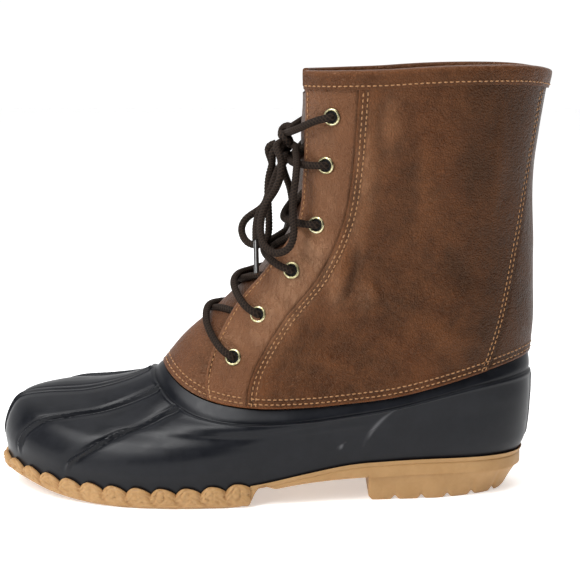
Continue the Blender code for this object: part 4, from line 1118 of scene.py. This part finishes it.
# Section of the binding: share of the cuff's height, height over the leather and rise, in mm
BINDING = (
    (0.0, 0.1, 0.0), (0.0, 1.05, 0.0), (0.08, 1.25, 0.0), (0.25, 1.3, 0.0), (0.5, 1.45, 0.0),
    (0.78, 1.5, 0.0), (0.95, 1.4, 0.0), (1.0, 1.25, 0.25), (1.0, 0.8, 0.8), (1.0, 0.1, 1.1),
    (1.0, -1.0, 1.2), (1.0, -2.1, 1.1), (1.0, -2.8, 0.8), (1.0, -3.2, 0.2), (0.9, -3.3, 0.0),
    (0.4, -3.2, 0.0), (0.02, -3.1, 0.0), (0.0, -2.1, 0.0), (0.5, -2.05, 0.0),
    (0.98, -2.05, 0.0), (1.0, -1.0, 0.05), (0.98, 0.05, 0.0), (0.5, 0.08, 0.0),
)


def make_collar_binding():
    """Folded strip over the collar's rim: up the outside, over the top and down inside."""
    start = float(seam("eyestay", COLLAR))
    angles = np.concatenate([np.linspace(start, 180, 120),
                             np.linspace(180, 360 - start, 120)[1:]])
    edge = cuff_row(angles)
    rings, wear_and_painted_highlight = [], []
    for share, height, rise in BINDING:
        wave = 0.08 * np.sin(np.radians(angles) * 31) * (0.2 < share < 0.8)
        ring = skin(angles, edge + (COLLAR - edge) * share, (height + wave) * MM)
        ring[:, 2] += rise * MM
        rings.append(ring)
        # Paler over the rim's top than on the rest of the binding
        wear_and_painted_highlight.append(np.full(len(angles), 0.75 if 0.85 < share and height > -2 else 0.2))
    grid = np.arange(len(rings) * len(angles)).reshape(len(rings), len(angles))
    loop = np.concatenate([grid, grid[:1]])
    quads = np.stack([loop[:-1, :-1], loop[:-1, 1:], loop[1:, 1:], loop[1:, :-1]], -1)
    faces = quads.reshape(-1, 4).tolist() + [grid[:, 0].tolist(), grid[::-1, -1].tolist()]
    binding = mesh_piece("collar_binding", np.concatenate(rings), faces, SHAFT_LEATHER, 70.0)
    add_field(binding, "wear_and_painted_highlight", *wear_and_painted_highlight)
    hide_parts("collar_cuff")


def eyelet_place(number):
    """Angle and row of an eyelet on the outer side, counted from the top."""
    v, share = EYELETS[number]
    eyestay, quarter = float(seam("eyestay", v)), float(seam("quarter", v))
    return eyestay + (quarter - eyestay) * share, v


# Sections of an eyelet's ring and of the dark plug in it: radius and height in mm
RING = ((3.25, -2.1), (3.3, 0.0), (4.3, 0.02), (4.72, 0.12), (4.75, 0.30), (4.6, 0.58),
        (4.3, 0.85), (3.95, 0.97), (3.6, 0.90), (3.3, 0.62), (3.15, 0.25), (3.1, -0.3),
        (3.1, -2.1))
PLUG = ((3.18, 0.45), (3.18, -0.3))


def turned(section, closed):
    """Rings of a section turned at every eyelet; closed joins the last ring to the first.

    Otherwise flat ends close each piece.
    """
    turn = np.radians(np.linspace(0, 360, 41)[:-1])
    sides = len(turn)
    points, faces = [], []
    for number in range(len(EYELETS)):
        place, v = eyelet_place(number)
        for theta in (place, 360.0 - place):
            base = len(points) * sides
            centre, axis = skin(theta, v, 0.0), outward(theta, v)
            side = np.cross(axis, (0.0, 0.0, 1.0))
            side /= np.linalg.norm(side)
            circle = np.cos(turn)[:, None] * side + np.sin(turn)[:, None] * np.cross(side, axis)
            points += [centre + circle * radius * MM + axis * height * MM
                       for radius, height in section]
            if closed:
                faces += grid_faces(base, len(section), sides, True)
                end = base + (len(section) - 1) * sides
                for k in range(sides):
                    n = (k + 1) % sides
                    faces.append((end + k, end + n, base + n, base + k))
            else:
                faces += tube_faces(base, len(section), sides)
    return np.concatenate(points), faces


def make_eyelets():
    """Twelve turned rings, with thin dark plugs where the hole in the leather is in shade."""
    rings = mesh_piece("eyelet_rings", *turned(RING, True), BRASS, 40.0)
    darks = mesh_piece("eyelet_hole_shade", *turned(PLUG, False), HOLE_SHADE, 40.0)
    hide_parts(*(f"eyelet_{side}_{k + 1}" for side in ("outer", "inner")
                         for k in range(len(EYELETS))))


def even_places(theta, v, height, pitch):
    """Points and directions at an even pitch along a line on the leather."""
    points = skin(theta, v, height)
    length = distance_along(points)
    at = np.arange(0.4 * pitch, length[-1] - 0.3 * pitch, pitch)
    place = sampled(points, length, at)
    along = sampled(points, length, at + 0.2 * MM) - place
    along /= np.linalg.norm(along, axis=1, keepdims=True)
    normals = outward(np.interp(at, length, theta), np.interp(at, length, v))
    return place, along, normals


def stitch_lines():
    """Every stitched line as angles, rows and heights in metres, for both sides of the boot.

    A line without a height of its own lies just over the leather's relief.
    """
    rows = np.linspace(JOINT + 0.06, float(cuff_row(60.0)) - 0.03, 260)
    lines = []
    for name, offsets in (("quarter", ROWS_ON_QUARTER), ("backstay", [-o for o in ROWS_ON_BACK]),
                          ("eyestay", (ROW_ON_EYESTAY,))):
        line = seam(name, rows)
        lines += [(line + o * MM / per_degree(line, rows), rows, 0.0) for o in offsets]
    quarter, backstay = (float(seam(name, JOINT + 0.3)) for name in ("quarter", "backstay"))
    for offset in ROWS_OVER_HEM:
        for low, high in ((3.0, quarter - 0.6), (quarter + 1.2, backstay - 0.6),
                          (backstay + 1.2, 180.0)):
            theta = np.linspace(low, high, 200)
            row = JOINT + offset * MM / per_row(theta, np.full(200, JOINT + 0.1))
            lines.append((theta, row, tongue_depth(theta, row) - 0.05))
    theta = np.linspace(float(seam("eyestay", COLLAR)) + 1.0, 180.0, 240)
    cuff = cuff_row(theta)
    lines.append((theta, cuff + 0.22 * (COLLAR - cuff), 1.36))
    both = []
    for theta, row, height in lines:
        for angles in (theta, 360.0 - theta):
            own = leather_relief(angles, row)[0] + 0.10 * MM
            over = (theta < seam("eyestay", row) - 0.1) | (np.asarray(height) > 1.0)
            both.append((angles, row, np.where(over, height * MM, own)))
    return both


def make_stitches():
    """Single stitches: short rounded threads that dip into the leather at both ends."""
    sides = 6
    steps = np.array([-1.0, -0.72, 0.0, 0.72, 1.0]) * 1.12 * MM
    girth = np.array([0.25, 0.85, 1.0, 0.85, 0.25]) * MM
    lift = np.array([-0.38, 0.02, 0.12, 0.02, -0.38]) * MM
    turn = np.radians(np.arange(sides) * 360 / sides)[:, None]
    points, faces = [], []
    for number, (theta, v, height) in enumerate(stitch_lines()):
        place, along, normals = even_places(theta, v, height, STITCH_PITCH)
        across = np.cross(normals, along)
        across /= np.linalg.norm(across, axis=1, keepdims=True)
        along = along + across * 0.09 * np.sin(np.arange(len(place)) * 2.3 + number)[:, None]
        for middle, ahead, beside, up in zip(place, along, across, normals):
            faces += tube_faces(len(points) * sides, len(steps), sides)
            ring = np.cos(turn) * beside * 0.36 + np.sin(turn) * up * 0.30
            points += [middle + ahead * step + up * rise + ring * fat
                       for step, fat, rise in zip(steps, girth, lift)]
    stitches = mesh_piece("stitches", np.concatenate(points), faces, THREAD, 80.0)


# Laces: points in the last's frame, in metres. They follow the part's source, but the lower
# turns of both loops are rounder here.

NEAR_LOOP = (
    (0.1618, -0.0180, 0.1881), (0.1611, -0.0220, 0.1791),
    (0.1584, -0.0210, 0.1725), (0.1540, -0.0230, 0.1661), (0.1510, -0.0240, 0.1580),
    (0.1507, -0.0280, 0.1497), (0.1533, -0.0332, 0.1432), (0.1595, -0.0370, 0.1402),
    (0.1657, -0.0385, 0.1430), (0.1685, -0.0383, 0.1493), (0.1684, -0.0372, 0.1580),
    (0.1682, -0.0365, 0.1674),
    (0.1693, -0.0370, 0.1781), (0.1704, -0.0275, 0.1895), (0.1697, -0.0165, 0.1940),
)
FAR_LOOP = (
    (0.1568, 0.0075, 0.1821), (0.1547, 0.0080, 0.1696),
    (0.1511, 0.0078, 0.1600), (0.1462, 0.0070, 0.1567), (0.1417, 0.0058, 0.1536),
    (0.1391, 0.0050, 0.1490), (0.1400, 0.0035, 0.1436), (0.1427, 0.0012, 0.1404),
    (0.1470, -0.0010, 0.1393), (0.1512, -0.0032, 0.1405), (0.1539, -0.0050, 0.1438),
    (0.1548, -0.0056, 0.1485), (0.1548, -0.0050, 0.1545), (0.1546, -0.0040, 0.1605),
    (0.1543, -0.0030, 0.1655), (0.1541, -0.0020, 0.1706), (0.1548, -0.0015, 0.1785),
    (0.1568, -0.0015, 0.1860),
)
NEAR_END = (
    (0.1618, -0.0060, 0.1855), (0.1587, -0.0105, 0.1799), (0.1556, -0.0135, 0.1707),
    (0.1528, -0.0140, 0.1648), (0.1492, -0.0150, 0.1588), (0.1478, -0.0175, 0.1512),
    (0.1479, -0.0215, 0.1449),
)
# The far end lies over the far eyestay: degrees round the loop, row and height above it
FAR_END = (
    (-15.0, 13.50, 0.0096), (-20.0, 13.20, 0.0104), (-25.0, 12.85, 0.0106),
    (-31.0, 12.45, 0.0104), (-34.5, 12.05, 0.0104), (-36.0, 11.70, 0.0104),
)
# Where the bow's cords leave the knot, as directions from its middle
KNOT_EXITS = {
    "near_start": (-0.45, -0.85, -0.20),
    "near_finish": (0.55, -0.75, -0.35),
    "far_start": (-0.90, 0.15, -0.35),
    "far_finish": (-0.70, -0.35, -0.60),
    "near_end": (0.12, -0.28, -0.95),
    "far_end": (-0.35, 0.85, -0.35),
}
LACE_RADIUS = 0.0021
AGLET_RADIUS = 0.0014
AGLET_LENGTH = 0.020
KNOT_RADII = (0.0052, 0.0080, 0.0066)
KNOT_GAP = 0.0009
KNOT_ROW = 13.68
KNOT_PROUD = 0.0026
LACE_SPACING = 0.40 * MM
LACE_SIDES, TIP_SIDES = 24, 20
BRAID_RELIEF = 0.09      # share of the radius
BRAID_TURN = 0.0070      # length in which a strand goes once round
STRANDS = 4
RELAX_PASSES = 45
TREFOIL_SHARE = 0.44     # size of the knot's loops in its radii
# Power of the share along the way by which each strand climbs, from the top one down
LACE_LEVELS = (3.2, 2.6, 1.3, 1.15, 1.0)


def over_leather(theta, v, height):
    """One point of a lace over the leather, in the last's frame."""
    return last(theta, v) + outward(theta, v) * height * MM


KNOT_CENTRE = last(0.0, KNOT_ROW) + outward(0.0, KNOT_ROW) * KNOT_PROUD


def smooth_route(points):
    """Even points on a smooth curve through a route's own points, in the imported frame."""
    points = np.array(points, float)
    number = distance_along(points)
    fine = np.linspace(0, number[-1], 900)
    curve = np.stack([through(list(zip(number, points[:, k])), 1, fine) for k in range(3)], -1)
    length = distance_along(curve)
    even = np.linspace(0, length[-1], int(round(length[-1] / LACE_SPACING)) + 1)
    return frame_point(sampled(curve, length, even))


def relaxed(points):
    """The same route with its bends eased: each pass averages neighbours, ends held."""
    for _ in range(RELAX_PASSES):
        points[1:-1] = 0.25 * points[:-2] + 0.5 * points[1:-1] + 0.25 * points[2:]
    return points


def tube_rings(points, radius, sides, relief):
    """Rings of a tube along points, with frames carried along without twist.

    The relief is a braid: the larger of two sines that wind round the tube in opposite
    directions, so strands cross over and under.
    """
    tangent = np.gradient(points, axis=0)
    tangent /= np.linalg.norm(tangent, axis=1, keepdims=True)
    side = np.cross(tangent[0], (0.0, 0.0, 1.0))
    if np.linalg.norm(side) < 0.1:
        side = np.cross(tangent[0], (1.0, 0.0, 0.0))
    around = np.radians(np.arange(sides) * 360.0 / sides)
    length = distance_along(points)
    rings, crowns = [], []
    for k, point in enumerate(points):
        side = side - tangent[k] * np.dot(side, tangent[k])
        side /= np.linalg.norm(side)
        wind = 2 * np.pi * length[k] / BRAID_TURN
        crown = np.maximum(np.sin(STRANDS * (wind + around)), np.sin(STRANDS * (wind - around)))
        circle = np.cos(around)[:, None] * side \
            + np.sin(around)[:, None] * np.cross(tangent[k], side)
        rings.append(point + circle * radius * (1 - relief + relief * crown)[:, None])
        crowns.append(crown)
    return np.concatenate(rings), np.concatenate(crowns)


def lace_mesh(name, routes, finish=LACE, radius=LACE_RADIUS, sides=LACE_SIDES,
              relief=BRAID_RELIEF):
    """One mesh of closed tubes, one along each route, with the braid's crowns as an attribute for
    its painted light and shade.
    """
    tubes = [tube_rings(route, radius, sides, relief) for route in routes]
    faces, count = [], 0
    for route in routes:
        faces += tube_faces(count, len(route), sides)
        count += len(route) * sides
    piece = mesh_piece(name, np.concatenate([tube[0] for tube in tubes]), faces, finish, 80.0)
    add_field(piece, "braid_crown_light", *(tube[1] for tube in tubes))
    return piece


def knot_exit(name):
    """Two points straight out of the knot, where one of the bow's cords starts."""
    direction, radii = np.array(KNOT_EXITS[name]), np.array(KNOT_RADII)
    on_knot = direction / np.linalg.norm(direction) * radii
    normal = on_knot / radii ** 2
    normal /= np.linalg.norm(normal)
    start = KNOT_CENTRE + on_knot + normal * KNOT_GAP
    return [start, start + 1.5 * normal * LACE_RADIUS]


def strand_route(low, high, side, over):
    """Run of the lace out of one eyelet, over the throat and under the other eyestay.

    side is 1 from the outer side and -1 from the inner one; over says whether it lies on
    the other strand where the two cross.
    """
    (theta0, v0), (theta1, v1) = eyelet_place(low), eyelet_place(high)
    share0 = (theta0 - float(seam("eyestay", v0))) / (theta0 + theta1)
    share1 = (theta0 + float(seam("eyestay", v1))) / (theta0 + theta1)
    level = LACE_LEVELS[high]

    def at(share, height):
        return over_leather(side * (theta0 - (theta1 + theta0) * share),
                            v0 + (v1 - v0) * share ** level, height)

    # Heights in mm before the crossing, at it and beyond it
    near, middle, far = (0.8, -0.9, -2.6) if over else (-1.0, -4.2, -3.6)
    return [over_leather(side * theta0, v0, -1.6), over_leather(side * theta0, v0, 1.2),
            at(0.35 * share0, 3.5), at(share0, 2.3), at(0.5 * (share0 + 0.5), near),
            at(0.5, middle), at(0.5 * (share1 + 0.5), far), at(share1, -3.6),
            at(share1 + 0.05, -4.6)]


def make_laces():
    routes = [smooth_route(strand_route(k, k - 1, side, side > 0))
              for k in range(1, 6) for side in (1, -1)]
    runs = lace_mesh("lace_runs", routes)
    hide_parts("lace_crossings")
    t = np.linspace(0, 2 * np.pi, 160)
    size = np.array(KNOT_RADII) * TREFOIL_SHARE
    trefoil = [size[0] * np.sin(3 * t) * 1.1, size[1] * (np.cos(t) - 1.6 * np.cos(2 * t)),
               size[2] * (np.sin(t) + 1.6 * np.sin(2 * t))]
    routes = [smooth_route(np.stack(trefoil, -1) + KNOT_CENTRE)]
    theta, v = eyelet_place(0)
    for side in (-1.0, 1.0):
        into = KNOT_CENTRE + np.array([0.0, side * 0.55 * KNOT_RADII[1], 0.5 * KNOT_RADII[2]])
        routes.append(smooth_route([
            over_leather(-side * theta, v, -1.6), over_leather(-side * theta, v, 1.2),
            over_leather(-side * theta * 0.88, v - 0.05, 3.7),
            over_leather(-side * theta * 0.55, v - 0.25, 4.4), into]))
    knot = lace_mesh("bow_knot", routes)
    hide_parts("lace_knot")
    far_end = [over_leather(theta, v, height / MM) for theta, v, height in FAR_END]
    bow = (("near_loop", "lace_loop_near",
            [*knot_exit("near_start"), *NEAR_LOOP, *knot_exit("near_finish")[::-1]], None),
           ("far_loop", "lace_loop_far",
            [*knot_exit("far_start"), *FAR_LOOP, *knot_exit("far_finish")[::-1]], None),
           ("near_end", "lace_end_near", [*knot_exit("near_end"), *NEAR_END], "aglet_near"),
           ("far_end", "lace_end_far", [*knot_exit("far_end"), *far_end], "aglet_far"))
    for name, node, route, tip_node in bow:
        path = relaxed(smooth_route(route))
        cord = lace_mesh(name, [path])
        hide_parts(node)
        if tip_node:
            along = path[-1] - path[-5]
            along /= np.linalg.norm(along)
            line = path[-1] + along * np.linspace(0.00003, AGLET_LENGTH, 40)[:, None]
            tip = lace_mesh(tip_node.replace("aglet", "tip"), [line], LACE_TIP, AGLET_RADIUS,
                            TIP_SIDES, 0.0)
            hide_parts(tip_node)


# Camera, floor and light

def add_object(name, data, location=(0.0, 0.0, 0.0)):
    thing = bpy.data.objects.new(name, data)
    thing.location = location
    bpy.context.scene.collection.objects.link(thing)
    return thing


def make_camera():
    """Level with the collar, a little above the boot, looking at its outer side."""
    data = bpy.data.cameras.new("studio_camera")
    data.sensor_width = 36.0
    data.lens = 88.95
    camera = add_object("studio_camera", data, (0.01105, -0.80076, 0.25921))
    camera.rotation_euler = (math.radians(90.0 - 10.322), 0.0, 0.0)
    bpy.context.scene.camera = camera


def area_light(name, location, aim_height, size, power):
    """Rectangular light that looks at a point over the origin."""
    data = bpy.data.lights.new(name, "AREA")
    data.shape = "RECTANGLE"
    data.size, data.size_y = size
    data.energy = power
    light = add_object(name, data, location)
    direction = Vector((0, 0, aim_height)) - Vector(location)
    light.rotation_euler = direction.to_track_quat("-Z", "Y").to_euler()


def make_studio():
    """Pale floor, a wide soft key, two fills, and a sky bright behind and above the boot."""
    mesh = bpy.data.meshes.new("studio_floor")
    mesh.from_pydata([(-4, -4, 0), (4, -4, 0), (4, 4, 0), (-4, 4, 0)], [], [(0, 1, 2, 3)])
    floor = add_object("studio_floor", mesh)
    finish, tree, shader = new_finish("pale_floor", 0.8, specular=0.2)
    shader.inputs["Base Color"].default_value = (0.92, 0.92, 0.92, 1.0)
    shader.inputs["Emission Color"].default_value = (1.0, 1.0, 1.0, 1.0)
    shader.inputs["Emission Strength"].default_value = 0.42
    mesh.materials.append(finish)
    area_light("key_light", (-0.75, -0.70, 1.20), 0.1, (0.7, 0.7), 17.0)
    area_light("top_light", (0.05, -0.20, 1.6), 0.1, (1.2, 0.8), 13.0)
    area_light("side_light", (-0.95, -0.95, 0.50), 0.12, (0.35, 0.7), 4.0)
    world = bpy.data.worlds.new("studio_sky")
    world.use_nodes = True
    tree = world.node_tree
    sky = tree.nodes["Background"].inputs
    sky["Color"].default_value = (1.0, 1.0, 1.0, 1.0)
    direction = add_node(tree, "TexCoord").outputs["Generated"]
    split = add_node(tree, "SeparateXYZ", {0: direction}).outputs
    behind = range_node(tree, split["Y"], -0.05, 0.40, 0.05, 1.05)
    above = range_node(tree, split["Z"], 0.30, 0.95, 0.0, 0.50)
    tree.links.new(math_node(tree, "MAXIMUM", behind, above), sky["Strength"])
    bpy.context.scene.world = world
    bpy.context.scene.view_settings.view_transform = "Standard"


make_camera()
make_laces()
make_studio()
make_rubber_foot()
make_gum_sole()
make_shaft()
make_tongue()
make_collar_binding()
make_eyelets()
make_stitches()
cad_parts["insole"].data.materials[0] = FOOT_CLOTH
